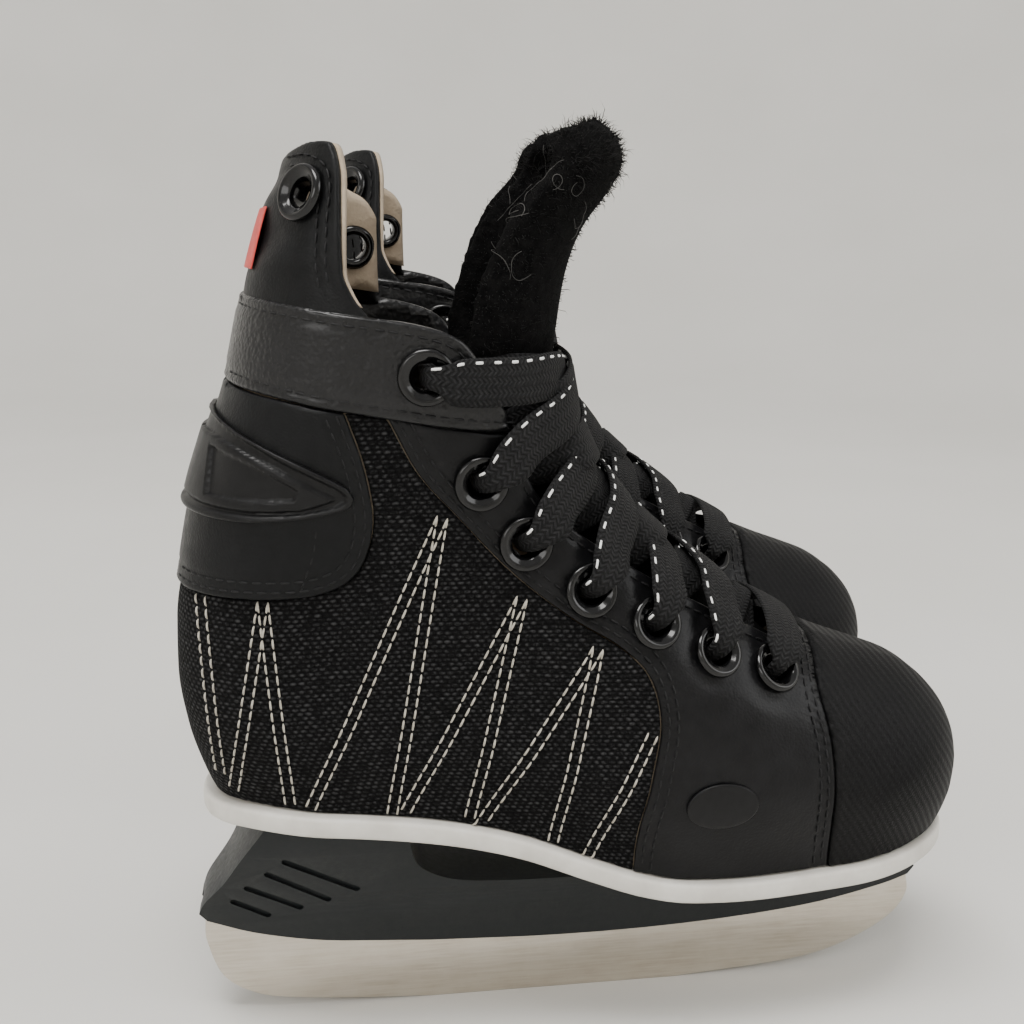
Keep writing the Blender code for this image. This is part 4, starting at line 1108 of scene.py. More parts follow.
def plate_relief(outline, height, edge):
    """A raised or sunk flat area with soft edges."""
    shape = np.asarray(outline, float)
    rim = evenly(np.vstack([shape, shape[:1]]), 0.3)

    def stepped(p, points, d):
        q = p[:, [0, 2]]
        g = gap_to(q, rim) * np.where(inside(shape, q), 1, -1)
        return height * smooth(-edge / 2, edge / 2, g)
    return stepped


PIPING = spline([(-3, 156.4), (10, 156.4), (16.3, 153.9), (22, 151.3), (29.3, 147.6), (36.7, 143.8), (41, 141),
                 (41.6, 138.4), (38.3, 136.2), (28.8, 134.6), (18, 134), (7.3, 134.1), (-3, 134.2)], 8)
PLATE = [(-3, 151.2), (13.5, 150.5), (18.7, 149), (25.5, 146), (33.1, 141.9), (38.4, 138.9), (31.5, 136.8),
         (20.7, 136), (-3, 136.2)]
RECESS = [(13.5, 148.2), (22.3, 145.8), (29.1, 142.3), (31.2, 140.9), (29.8, 138.9), (21.9, 138.3), (12, 138.1)]
badge = patch([wrapped(joined(BADGE_TOP, BADGE_LOW))], 0.75, 1.2, 0.55, roll=0.5, relief=both(
    tube_relief(PIPING, 1.2, 1.15), plate_relief(PLATE, 0.95, 0.5), plate_relief(RECESS, -1.0, 0.5)))
piece(badge, "heel_badge_rubber", BADGE, stands_for=("heel_badge",))

# a plain smooth oval pad on each side of the forefoot
EMBLEM_AT, EMBLEM_WIDE, EMBLEM_TALL = (126.0, 63.5), 8.6, 5.8
EMBLEM = np.array([(EMBLEM_AT[0] + EMBLEM_WIDE * math.cos(t), EMBLEM_AT[1] + EMBLEM_TALL * math.sin(t))
                   for t in np.linspace(0, 2 * math.pi, 60, endpoint=False)])
for word, hand in (("outer", -1), ("inner", 1)):
    plate = patch([one_side(EMBLEM, hand)], 0.1, 0.8, 0.5, roll=0.5)
    piece(plate, "emblem_" + ("near" if hand < 0 else "far"), BADGE,
          stands_for=("emblem_" + word,))


# ---- sewing ----
WHITE = dict(length=2.35, pause=0.5, radius=0.27, lift=0.8)
BLACK = dict(length=2.2, pause=0.9, radius=0.27, lift=0.2)
legs = []
for peak, *feet in FABRIC_PEAKS:
    for foot in feet:
        leg = np.array([peak, foot], float)
        legs += [shifted(leg, 1.15), shifted(leg, -1.15)]
white = gather(seams(leg, -0.62, **WHITE) for leg in legs)
piece(white, "white_stitching", WHITE_THREAD)

black = [seams(line, -0.12, **BLACK) for line in FACING_STITCH + TOE_STITCH + [THROAT_STITCH]]
black += [seams(line, 0.42, **BLACK) for line in COUNTER_STITCH + [REAR_SEAM]]
black += [seams(line, 0.5, **BLACK) for line in BAND_STITCH]
piece(gather(black), "black_stitching", BLACK_THREAD)


# ---- eyelets ----
def lathe(profile, point, normal, count=48):
    """A closed ring turned about an axis."""
    d = unit(np.asarray(normal, float))
    u = unit(np.cross(d, [0, 0, 1.0]))
    v = np.cross(d, u)
    t = 2 * math.pi * np.arange(count) / count
    around_axis = np.cos(t)[:, None] * u + np.sin(t)[:, None] * v
    verts = np.concatenate([point + h * d + r * around_axis for r, h in profile])
    faces, m = [], len(profile)
    for i in range(m):
        j = (i + 1) % m
        faces += [(i * count + k, i * count + (k + 1) % count, j * count + (k + 1) % count, j * count + k)
                  for k in range(count)]
    return Shape(verts, faces)


def eyelet_profile(depth, back=0.0):
    """The ring's section; back adds a washer on the inner side."""
    lip = [(3.15, 0.1), (3.3, 0.55), (3.8, 0.85), (4.5, 1.25), (5.15, 1.68), (5.7, 1.62), (6.1, 1.2),
           (EYELET_R, 0.6), (EYELET_R, 0.2)]
    if back:
        return lip + [(3.6, 0.2), (3.6, -depth), (back, -depth), (back + 0.1, -depth - 0.35), (4.4, -depth - 0.8),
                      (3.5, -depth - 0.7), (3.15, -depth - 0.3)]
    return lip + [(3.6, 0.2), (3.6, -depth), (3.15, -depth)]


def eyelet(x, z, side, lift, depth):
    a, h, _ = locate(np.array([x]), np.array([z]))
    p, n, _, _ = boot_frame(a * side, h)
    return lathe(eyelet_profile(depth), p[0] + lift * n[0], n[0])


for word, side in (("near", -1), ("far", 1)):
    rings = [eyelet(x, z, side, 1.05 if i == 0 else 0.15, 5.2 if i == 0 else 4.0)
             for i, (x, z) in enumerate(EYELETS)]
    nodes = ["eyelet_%d" % i for i in range(1, 8)] if side < 0 else []
    piece(gather(rings), "eyelets_" + word, GLOSS, stands_for=nodes)


# ---- the instep's own frame, for tongue and lace ----
RIDGE_Z = np.linspace(84, 190, 400)
RIDGE_P = np.column_stack([RIDGE(RIDGE_Z), RIDGE_Z])
RIDGE_S = np.concatenate([[0], np.cumsum(np.linalg.norm(np.diff(RIDGE_P, axis=0), axis=1))])
INSTEP_DEPTH = 34.0
UNDER = -6.4                # the tongue's outer face under the facings
LACE_THICK = 1.3


def on_ridge(s, angle, off):
    """The point at arc length s and angle (radians) round the instep, off the surface."""
    s = np.asarray(s, float)
    p = np.column_stack([np.interp(s, RIDGE_S, RIDGE_P[:, i]) for i in (0, 1)])
    a = np.column_stack([np.interp(s + 4, RIDGE_S, RIDGE_P[:, i]) for i in (0, 1)])
    b = np.column_stack([np.interp(s - 4, RIDGE_S, RIDGE_P[:, i]) for i in (0, 1)])
    t = unit(a - b)
    inward = np.column_stack([-t[:, 1], t[:, 0]])
    depth = -off + (INSTEP_DEPTH + off) * (1 - np.cos(angle))
    q = p + inward * depth[:, None]
    at = p + inward * np.maximum(depth, 0)[:, None]
    y = (base_width(at[:, 0], at[:, 1]) + off) * np.sin(angle)
    return np.column_stack([q[:, 0], y, q[:, 1]])


def ridge_place(x, z):
    """Arc length and angle of the surface point seen at (x, z) from the side."""
    gap = np.hypot(RIDGE_P[:, 0] - x, RIDGE_P[:, 1] - z)
    k = int(gap.argmin())
    return RIDGE_S[k], math.acos(max(-1.0, 1 - gap[k] / INSTEP_DEPTH))


TONGUE_S0 = ridge_place(RIDGE(95.2), 95.2)[0]
TONGUE_S1 = ridge_place(RIDGE(166.4), 166.4)[0]
THROAT_PLACES = sorted(ridge_place(x, z) for x, z in THROAT[THROAT[:, 1] > 97.5][16:-9])


def throat_angle(s):
    """The angle round the instep at which the facings end."""
    return np.interp(s, [p[0] for p in THROAT_PLACES], [p[1] for p in THROAT_PLACES])


def tongue_off(s, angle):
    """How far the tongue's outer face lies off the boot surface."""
    k = np.clip(np.abs(angle) / (0.8 * throat_angle(s)), 0, 1)
    return UNDER + smooth(4, 22, s - TONGUE_S0) * 4.6 * (0.5 + 0.5 * np.cos(math.pi * k))


# ---- the lace ----
def crossing(start, end, hand, high, lift):
    """Out of the eyelet at start, over the tongue, then under the far facing to end."""
    (s0, a0), (s1, a1) = start, end
    run = s1 - s0
    near = float(throat_angle(s0 + 0.2 * run))
    far = float(throat_angle(s0 + 0.85 * run))
    top = 1.5 if high else 0.0
    w, t = LACE_WIDTH, LACE_THICK
    return [
        (s0, hand * a0, -5.0, 4.2, 1.5, 0), (s0, hand * (a0 - 0.01), 0.6 + lift, 4.8, 1.5, 1),
        (s0 + 0.02 * run, hand * (a0 - 0.075), 3.0 + lift, 6.2, 1.5, 1),
        (s0 + 0.08 * run, hand * (a0 - 0.19), 3.5 + lift, w - 0.4, t, 1),
        (s0 + 0.20 * run, hand * near * 0.94, 2.6, w, t, 1),
        (s0 + 0.30 * run, hand * near * 0.5, 1.0 + top, w, t, 1),
        (s0 + 0.50 * run, 0.0, 0.3 + top * 1.25, w, t, 1),
        (s0 + 0.68 * run, -hand * far * 0.45, -0.4 + top * 1.8, w, t, 0),
        (s0 + 0.79 * run, -hand * far * 0.68, -2.6 + top * 0.9, w, t, 0),
        (s0 + 0.86 * run, -hand * far * 0.88, -5.0, w - 1, t, 0),
        (s0 + 0.95 * run, -hand * (far * 0.5 + a1 * 0.5), -5.1, 5.6, t, 0),
    ]


def lace_path():
    """(s, angle, off, width, thickness, flecked) along the whole lace, end to end."""
    places = [ridge_place(x, z) for x, z in EYELETS]
    w, t = LACE_WIDTH, LACE_THICK
    runs = {}
    for side in (-1, 1):
        (s7, a7), (s6, a6) = places[6], places[5]
        hand = side
        rows = [(s7, hand * a7, 1.4, 4.2, 1.5, 0), (s7, hand * a7, -4.4, 4.0, 1.5, 0)]
        for k, turn in ((0.14, 0.84), (0.32, 0.45), (0.5, 0.0), (0.7, -0.5), (0.88, -0.86)):
            s = s7 + k * (s6 - s7)
            a = hand * turn * (a7 if turn > 0 else a6)
            off = float(tongue_off(s, np.array([a]))[0]) + 1.3 + (1.5 if side > 0 else 0)
            rows.append((s, a, off if abs(turn) < 0.6 else -5.0, 5.6, t, 0))
        hand = -hand
        for level in range(5, 0, -1):
            rows += crossing(places[level], places[level - 1], hand, side > 0, 0.0)
            hand = -hand
        s1, a1 = places[0]
        rows += crossing((s1, a1), (s1 - 15, a1 + 0.05), hand, side > 0, 1.0)[:-1]
        runs[side] = rows
    s7, a7 = places[6]
    bar = []
    for k, off in ((-0.97, 2.4), (-0.86, 3.5), (-0.72, 3.4), (-0.4, 2.4), (0.0, 2.0), (0.4, 2.4),
                   (0.72, 3.4), (0.86, 3.5), (0.97, 2.4)):
        end = abs(k) > 0.95
        bar.append((s7, k * a7, off, 5.0 if end else w, 1.5 if end else t, 0))
    return runs[-1][::-1] + bar + runs[1]


# section of the webbing: across, through, as shares of half the width and thickness
WEB = np.array([(-1, 0), (-0.93, 0.75), (-0.6, 1), (0, 1.1), (0.6, 1), (0.93, 0.75), (1, 0),
                (0.93, -0.75), (0.6, -1), (0, -1), (-0.6, -1), (-0.93, -0.75)])


def lace_shape():
    rows = np.array(lace_path())
    centre = on_ridge(rows[:, 0], rows[:, 1], rows[:, 2])
    keep = [0]
    for i in range(1, len(centre)):
        if np.linalg.norm(centre[i] - centre[keep[-1]]) > 0.4:
            keep.append(i)
    fine = spline(np.column_stack([centre, rows[:, 3:6]])[keep], 10)
    s = np.concatenate([[0], np.cumsum(np.linalg.norm(np.diff(fine[:, :3], axis=0), axis=1))])
    q = np.linspace(0, s[-1], int(s[-1] / 0.8))
    fine = np.column_stack([np.interp(q, s, fine[:, i]) for i in range(6)])
    p = fine[:, :3]
    tangent = unit(np.gradient(p, axis=0))
    wides, last = [], None
    for i in range(len(p)):
        gap = np.hypot(RIDGE_P[:, 0] - p[i, 0], RIDGE_P[:, 1] - p[i, 2])
        k = int(gap.argmin())
        axis = RIDGE_P[min(k + 6, 399)] - RIDGE_P[max(k - 6, 0)]
        along = unit(np.array([axis[0], 0.0, axis[1]]))
        wide = along - tangent[i] * (along @ tangent[i])
        size = np.linalg.norm(wide)
        if size < 0.25 and last is not None:
            wide = last - tangent[i] * (last @ tangent[i])
        wide = unit(wide)
        if last is not None and wide @ last < 0:
            wide = -wide
        last = wide
        wides.append(wide)
    wides = np.array(wides)
    kernel = np.hanning(7) / np.hanning(7).sum()
    padded = np.pad(wides, ((3, 3), (0, 0)), "edge")
    wides = unit(np.column_stack([np.convolve(padded[:, i], kernel, "valid") for i in range(3)]))
    thin = unit(np.cross(tangent, wides))
    wides = np.cross(thin, tangent)
    half, deep = fine[:, 3] / 2, fine[:, 4] / 2
    loops = (p[:, None] + WEB[None, :, :1] * half[:, None, None] * wides[:, None]
             + WEB[None, :, 1:] * deep[:, None, None] * thin[:, None])
    m = len(WEB)
    faces = []
    for i in range(len(p) - 1):
        for c in range(m):
            d = (c + 1) % m
            faces.append((m * i + c, m * i + d, m * i + m + d, m * i + m + c))
    faces += [tuple(range(m))[::-1], tuple(range(m * (len(p) - 1), m * len(p)))]
    cloth = np.column_stack([np.repeat(q, m), (WEB[None, :, 0] * half[:, None]).ravel()])
    return Shape(loops.reshape(-1, 3), faces, cloth), q, p, wides, thin, half, deep, fine[:, 5]


lace, at, *web = lace_shape()
piece(lace, "lace_webbing", RIBBON, stands_for=("lace",))


def flecks(at, p, wides, thin, half, deep, marked):
    """White threads woven in along the upper edge where the lace shows."""
    ring = 2 * math.pi * np.arange(8) / 8
    shares = np.array([0, 0.12, 0.5, 0.88, 1.0])
    thick = np.array([0.45, 0.95, 1.0, 0.95, 0.45])
    out = []
    for start in np.arange(0, at[-1], 4.7):
        q = start + 2.2 * shares
        if np.interp(q, at, marked).min() < 0.6:
            continue
        look = lambda t: np.column_stack([np.interp(q, at, t[:, i]) for i in range(3)])
        c, u, v = look(p), unit(look(wides)), unit(look(thin))
        r, d = np.interp(q, at, half), np.interp(q, at, deep)
        c = c + u * (r * 0.80)[:, None]
        loops = c[:, None] + ((0.46 * thick)[:, None, None] * np.cos(ring)[None, :, None] * u[:, None]
                              + ((d + 0.15) * thick)[:, None, None] * np.sin(ring)[None, :, None] * v[:, None])
        faces = [(8 * k + m, 8 * k + (m + 1) % 8, 8 * k + 8 + (m + 1) % 8, 8 * k + 8 + m)
                 for k in range(4) for m in range(8)]
        faces += [tuple(range(8))[::-1], tuple(range(32, 40))]
        out.append(Shape(loops.reshape(-1, 3), faces))
    return gather(out)


piece(flecks(at, *web), "lace_white_flecks", DASH_THREAD)


# ---- tongue ----
def tongue_rows():
    """Outer and inner faces of the tongue from its toe end to its curled top."""
    angles = np.linspace(-1, 1, 33)
    rows = []
    for q in np.linspace(TONGUE_S0, TONGUE_S1, 10):
        a = angles * (0.95 + 0.27 * smooth(0, 45, q - TONGUE_S0))
        drop = 5.0 * (1 - np.cos(a)) / (1 - math.cos(1.2)) if q == TONGUE_S1 else 0.0
        outer = on_ridge(q - drop, a, tongue_off(q, a))
        rows.append((outer, on_ridge(q - drop, a, np.full(33, UNDER - 2.8))))
    front = spline([(90.4, 167.6), (91.8, 177), (93.8, 186), (97.6, 195), (103.0, 202.4), (106.2, 209),
                    (104.6, 215), (99.5, 219.4)], 2)
    depth = curve([(0, 22.5), (0.33, 20.5), (0.55, 17.5), (0.75, 16.5), (0.9, 17.5), (1, 15.5)])
    tangent = unit(np.gradient(front, axis=0))
    for i, p in enumerate(front):
        if i < 1:
            continue
        k = i / (len(front) - 1)
        inward = np.array([-tangent[i][1], tangent[i][0]])
        back = unit(np.array([-1.0, 0.0]) * (1 - 0.35 * k) + inward * 0.35 * k)
        tip = smooth(0.72, 1.0, k)
        a = angles * 1.22 * math.sqrt(1 - (0.6 * tip) ** 2)
        fall = depth(k) * (1 - np.cos(a)) / (1 - math.cos(1.22))
        width = (25.6 - 1.6 * k) * np.sin(a)
        thick = 3.4 + 4.6 * smooth(0.1, 0.85, k)
        q = p + fall[:, None] * back
        u = q + np.outer(np.cos(a), inward) * thick
        rows.append((np.column_stack([q[:, 0], width, q[:, 1] + 0.25]),
                     np.column_stack([u[:, 0], width - np.sin(a) * thick * 0.8, u[:, 1] + 0.25])))
    return np.array([r[0] for r in rows]), np.array([r[1] for r in rows])


def denser(grid, n):
    """Rows added between a grid's rows, on smooth curves."""
    rows, cols = grid.shape[:2]
    return spline(grid.reshape(rows, cols * 3), n).reshape(-1, cols, 3)


def slab_between(outer, inner):
    """A closed body between two equal grids."""
    rows, cols = outer.shape[:2]
    k = rows * cols
    faces = []
    for r in range(rows - 1):
        for c in range(cols - 1):
            a = r * cols + c
            faces.append((a, a + 1, a + cols + 1, a + cols))
            faces.append((k + a, k + a + cols, k + a + cols + 1, k + a + 1))
    edge = list(range(cols)) + [r * cols + cols - 1 for r in range(1, rows)]
    edge += [(rows - 1) * cols + c for c in range(cols - 2, -1, -1)] + [r * cols for r in range(rows - 2, 0, -1)]
    for i, a in enumerate(edge):
        b = edge[(i + 1) % len(edge)]
        faces.append((a, b, k + b, k + a))
    return Shape(np.concatenate([outer.reshape(-1, 3), inner.reshape(-1, 3)]), faces)


def apply_modifiers(ob):
    graph = bpy.context.evaluated_depsgraph_get()
    mesh = bpy.data.meshes.new_from_object(ob.evaluated_get(graph))
    ob.modifiers.clear()
    ob.data = mesh
    for f in mesh.polygons:
        f.use_smooth = True
    return ob


def plump(ob, voxel, cap):
    """Felt swollen by air pressure, no point further than its cap from where it began."""
    remesh = ob.modifiers.new("even", "REMESH")
    remesh.mode = "VOXEL"
    remesh.voxel_size = voxel / 1000
    apply_modifiers(ob)
    start = np.empty(len(ob.data.vertices) * 3)
    ob.data.vertices.foreach_get("co", start)
    start = start.reshape(-1, 3)
    cloth = ob.modifiers.new("air", "CLOTH")
    cloth.settings.quality = 5
    cloth.settings.mass = 0.15
    cloth.settings.tension_stiffness = 12
    cloth.settings.compression_stiffness = 12
    cloth.settings.bending_stiffness = 1.0
    cloth.settings.use_pressure = True
    cloth.settings.uniform_pressure_force = 4
    cloth.settings.effector_weights.gravity = 0
    cloth.point_cache.frame_start = 1
    cloth.point_cache.frame_end = 20
    for f in range(1, 21):
        bpy.context.scene.frame_set(f)
    graph = bpy.context.evaluated_depsgraph_get()
    moved = np.empty(len(start) * 3)
    ob.evaluated_get(graph).data.vertices.foreach_get("co", moved)
    moved = moved.reshape(-1, 3)
    ob.modifiers.clear()
    bpy.context.scene.frame_set(1)
    shift = moved - start
    size = np.linalg.norm(shift, axis=1)
    limit = cap(start * 1000)
    shift *= (np.minimum(size, limit) / np.maximum(size, 1e-9))[:, None]
    ob.data.vertices.foreach_set("co", (start + shift).ravel())
    ob.data.update()
    return ob


outer, inner = tongue_rows()
TONGUE_SHAPE = slab_between(denser(outer, 3), denser(inner, 3))
TONGUES = {}
for tag, (origin, _) in SKATES.items():
    ob = set_down(TONGUE_SHAPE, "tongue", tag, FELT)
    plump(ob, 1.7, lambda p: (0.4 + 2.0 * smooth(150, 172, p[:, 2])) / 1000)
    fine = ob.modifiers.new("fine", "SUBSURF")
    fine.levels = fine.render_levels = 1
    apply_modifiers(ob)
    ob.data.materials.clear()
    ob.data.materials.append(FELT)
    TONGUES[tag] = ob
    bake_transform(ob)
    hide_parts(tag + "tongue_base", tag + "tongue_top")


def tufts(ob, tag, count):
    """Short curled fibres standing on the tongue, as one mesh in world millimetres."""
    mesh = ob.data
    n = len(mesh.polygons)
    centre, normal, area = np.empty(n * 3), np.empty(n * 3), np.empty(n)
    mesh.polygons.foreach_get("center", centre)
    mesh.polygons.foreach_get("normal", normal)
    mesh.polygons.foreach_get("area", area)
    centre, normal = centre.reshape(-1, 3) * 1000, normal.reshape(-1, 3)
    z = centre[:, 2]
    share = area * (0.25 * smooth(150, 175, z) + smooth(192, 212, z) + 0.8 * smooth(0.6, 0.95, np.abs(normal[:, 1])))
    share *= z > 150
    k = RNG.choice(n, count, p=share / share.sum())
    c, m = centre[k], normal[k]
    long = RNG.gamma(2.2, 0.42, count)[:, None] * (0.7 + 0.6 * smooth(196, 212, c[:, 2:]))
    side = unit(np.cross(m, RNG.normal(size=(count, 3))))
    curl = unit(np.cross(m, side)) * RNG.uniform(-1, 1, (count, 1))
    mid = c + m * long * 0.6 + side * long * 0.3
    tip = c + m * long * 0.85 + side * long * 0.75 + curl * long * 0.5
    other = unit(np.cross(side, m))
    r = RNG.uniform(0.05, 0.095, count)[:, None]
    verts, faces = [], []
    for i, t in enumerate((0, 2 * math.pi / 3, 4 * math.pi / 3)):
        ring = math.cos(t) * side + math.sin(t) * other
        verts.append(c - m * 0.3 + ring * r * 1.2)
        verts.append(mid + ring * r)
    verts.append(tip)
    verts = np.stack(verts, 1)
    shape = [(0, 2, 3, 1), (2, 4, 5, 3), (4, 0, 1, 5), (1, 3, 6), (3, 5, 6), (5, 1, 6), (4, 2, 0)]
    faces = [tuple(7 * i + q for q in f) for i in range(count) for f in shape]
    return Shape(verts.reshape(-1, 3), faces)


def strays(ob, count):
    """A few long loose hairs lying in curls over the tongue."""
    mesh = ob.data
    n = len(mesh.polygons)
    centre, normal = np.empty(n * 3), np.empty(n * 3)
    mesh.polygons.foreach_get("center", centre)
    mesh.polygons.foreach_get("normal", normal)
    centre, normal = centre.reshape(-1, 3) * 1000, normal.reshape(-1, 3)
    tree = KDTree(n)
    for i, q in enumerate(centre.tolist()):
        tree.insert(q, i)
    tree.balance()
    starts = np.flatnonzero((centre[:, 2] > 178) & (normal[:, 1] < -0.2))
    out = []
    for _ in range(count):
        at = centre[RNG.choice(starts)].copy()
        turn, bend = RNG.uniform(0, 2 * math.pi), RNG.uniform(-0.5, 0.5)
        path = []
        for step in range(int(RNG.integers(8, 20))):
            i = tree.find(at)[1]
            m = normal[i]
            path.append(centre[i] * 0.0 + at - m * ((at - centre[i]) @ m) + m * (0.35 + 0.9 * math.sin(step * 0.7) ** 2))
            u = unit(np.cross(m, [0, 0, 1.0]))
            turn += bend + RNG.uniform(-0.35, 0.35)
            at = at + 0.75 * (math.cos(turn) * u + math.sin(turn) * np.cross(m, u))
        path = np.array(path)
        for _ in range(3):
            path[1:-1] = 0.25 * path[:-2] + 0.5 * path[1:-1] + 0.25 * path[2:]
        path = spline(path, 3)
        t = unit(np.gradient(path, axis=0))
        u = unit(np.cross(t, [0.3, 0.2, 1.0]))
        v = np.cross(t, u)
        turnings = 2 * math.pi * np.arange(4) / 4
        loops = path[:, None] + 0.055 * (np.cos(turnings)[None, :, None] * u[:, None]
                                       + np.sin(turnings)[None, :, None] * v[:, None])
        faces = [(4 * i + c, 4 * i + (c + 1) % 4, 4 * i + 4 + (c + 1) % 4, 4 * i + 4 + c)
                 for i in range(len(path) - 1) for c in range(4)]
        faces += [(0, 1, 2, 3), tuple(4 * (len(path) - 1) + c for c in (3, 2, 1, 0))]
        out.append(Shape(loops.reshape(-1, 3), faces))
    return gather(out)


def over_tongue(shape, name, tag, material):
    """A piece made in world millimetres on the tongue's surface, fixed in the world like the tongue."""
    origin = SKATES[tag][0]
    ob = set_down(Shape(shape.verts - origin, shape.faces), name, tag, material, bend=False)
    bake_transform(ob)


for tag, ob in TONGUES.items():
    over_tongue(tufts(ob, tag, 6500), "tongue_fuzz", tag, FIBRE)
    over_tongue(strays(ob, 22), "tongue_stray_hairs", tag, STRAY)


# ---- tendon guard, its two sides set differently as it slumps ----
GUARD_FRONT = {-1: curve([(177, 47), (182, 43.2), (187, 41.2), (195, 41.0), (203, 41.0), (214, 41)]),
               1: curve([(172, 52), (178, 50.8), (186, 50.6), (194, 50.6), (214, 50)])}
GUARD_TOP = {-1: curve([(0, 210.5), (0.3, 212), (0.62, 213.4), (0.8, 213.5), (0.92, 213), (1, 212.4)]),
             1: curve([(0, 210.5), (0.3, 210), (0.6, 207.4), (0.85, 203), (0.94, 201.4), (1, 200)])}
GUARD_FOOT = curve([(0, 181.9), (30, 180.8), (41, 179.5), (56, 177.2)])


def on_guard(u, v):
    """Points of the guard: u from -1 to 1 round the back, v from 0 at its foot to 1 at its rim."""
    u, v = np.asarray(u, float), np.asarray(v, float)
    near = u < 0
    size = np.abs(u)
    k = 1 - np.cos(math.pi * size / 2)
    top = np.where(near, GUARD_TOP[-1](size), GUARD_TOP[1](size))
    front = lambda z: np.where(near, GUARD_FRONT[-1](z), GUARD_FRONT[1](z))
    foot = np.full_like(u, 181.6)
    for _ in range(4):
        foot = GUARD_FOOT(HEEL(foot) + (front(foot) - HEEL(foot)) * k)
    z = foot + (top - foot) * v
    x = HEEL(z) + (front(z) - HEEL(z)) * k
    y = np.where(near, -1, 1) * half_width(x, z) * (1 - 0.024 * v)
    return np.stack([x, np.where(size < 1e-9, 0, y), z], -1)


def guard_frame(u, v):
    e = 0.01
    pu = (on_guard(u + e, v) - on_guard(u - e, v)) / (2 * e)
    pv = (on_guard(u, v + e) - on_guard(u, v - e)) / (2 * e)
    return on_guard(u, v), unit(-np.cross(pv, pu) * -1), pu, pv


def guard_points(step):
    v = np.arange(-0.2, 1.1, step * 0.85 / 31)
    out = []
    for k, q in enumerate(v):
        u = np.arange(-1.1 + 0.5 * (k % 2) * step / 42, 1.1, step / 42)
        out.append(np.column_stack([u, np.full(len(u), q)]))
    return np.concatenate(out)


GUARD_FORM = Form(guard_frame, lambda u, v: np.column_stack([u * 42, v * 31]), guard_points)
probe = guard_frame(np.array([0.0]), np.array([0.5]))[1][0]
if probe[0] > 0:
    GUARD_FORM.frame_at = lambda u, v: tuple(q * (-1 if i == 1 else 1) for i, q in enumerate(guard_frame(u, v)))


def guard_loop(reach, low, high, corner=0.14):
    """The guard's outline with its upper corners rounded."""
    drop = 1.35 * corner
    ends = reach - corner + corner * np.sin(np.linspace(0, math.pi / 2, 13))[1:]
    us = np.concatenate([-ends[::-1], np.linspace(corner - reach, reach - corner, 110), ends])
    bend = np.clip((np.abs(us) - reach + corner) / corner, 0, 1)
    top = high - drop * (1 - np.sqrt(np.clip(1 - bend ** 2, 0, 1)))
    low_us = np.linspace(-reach, reach, 130)
    rise = np.linspace(low, high - drop, 34)[1:-1]
    return np.vstack([np.column_stack([low_us, np.full(130, low)]), np.column_stack([np.full(32, reach), rise]),
                      np.column_stack([us, top])[::-1], np.column_stack([np.full(32, -reach), rise[::-1]])])


def guard_place(x, z, side):
    """(u, v) of the guard's surface point seen at (x, z)."""
    us, vs = np.meshgrid(np.linspace(0, 1, 101) * side, np.linspace(0, 1, 81))
    p = on_guard(us, vs)
    k = np.argmin(np.hypot(p[..., 0] - x, p[..., 2] - z))
    return np.array([us.ravel()[k], vs.ravel()[k]])


EAR_HOLES = [circle(guard_place(*EAR_EYELETS[side], side), HOLE_R, GUARD_FORM.frame_at) for side in (-1, 1)]
for word, side in (("near", -1), ("far", 1)):
    spot = guard_place(*EAR_EYELETS[side], side)
    p, n, _, _ = GUARD_FORM.frame_at(spot[:1], spot[1:])
    piece(lathe(eyelet_profile(3.85, 5.2), p[0] + 0.15 * n[0], n[0]), "ear_eyelet_" + word, GLOSS,
          body="guard", stands_for=("eyelet_0",) if side < 0 else ("eyelet_0_inner",))
EAR_LINE = spline([(30.6, 210.2), (33.4, 210.9), (36.4, 210.2), (38.8, 208), (39.4, 204), (38.7, 199), (38.2, 193),
                   (38, 188), (38.6, 183.6)], 6)
FOLDS = [np.array([(24, 196), (28, 192), (33, 190.5)]), np.array([(27, 204), (29.5, 199), (30, 195)])]


def guard_relief(p, points, d):
    out = np.where(p[:, 1] < 0, grooves([EAR_LINE, shifted(EAR_LINE, -2.0)], 0.25, 0.7)(p, points, d), 0)
    soft = 0.55 * np.sin(p[:, 2] * 0.42 + p[:, 1] * 0.11) * np.exp(-((p[:, 0] - 27) / 6) ** 2)
    return out + soft * np.clip(d / 5, 0, 1)


shell = patch([guard_loop(1.0, -0.12, 1.0)] + EAR_HOLES, -LEATHER, 0.0, 1.2, GUARD_FORM, roll=0.8,
              relief=guard_relief)
piece(shell, "tendon_guard", GUARD_LEATHER, body="guard", stands_for=("guard_shell",),
      bends=GUARD_BEND)
inner = patch([guard_loop(1.012, 0.02, 0.995)] + EAR_HOLES, LINING_OUT - 1.7, LINING_OUT, 2.0, GUARD_FORM, roll=0.7,
              coarse=2.5)
piece(inner, "tendon_guard_lining", TAN, body="guard", stands_for=("guard_lining",),
      bends=GUARD_BEND)


def guard_seam(line, side, off):
    p = evenly(line, 0.8)
    y = side * half_width(p[:, 0], p[:, 1]) * 0.985
    place = np.column_stack([p[:, 0], y, p[:, 1]])
    a, h, _ = locate(p[:, 0], p[:, 1])
    n = boot_frame(a * side, np.clip(h, 0, 146))[1]
    return place + off * n, n


rows = [guard_seam(EAR_LINE, -1, 0.0), guard_seam(shifted(EAR_LINE, -2.0), -1, 0.0)]
FAR_LINE = spline([(34, 205.4), (40, 202), (45.6, 196.5), (47.4, 190), (47.6, 183)], 6)
rows += [guard_seam(FAR_LINE, 1, 0.0), guard_seam(shifted(FAR_LINE, -2.0), 1, 0.0)]
piece(gather(stitch(*row, **BLACK) for row in rows), "tendon_guard_stitching", BLACK_THREAD,
      body="guard", bends=GUARD_BEND)


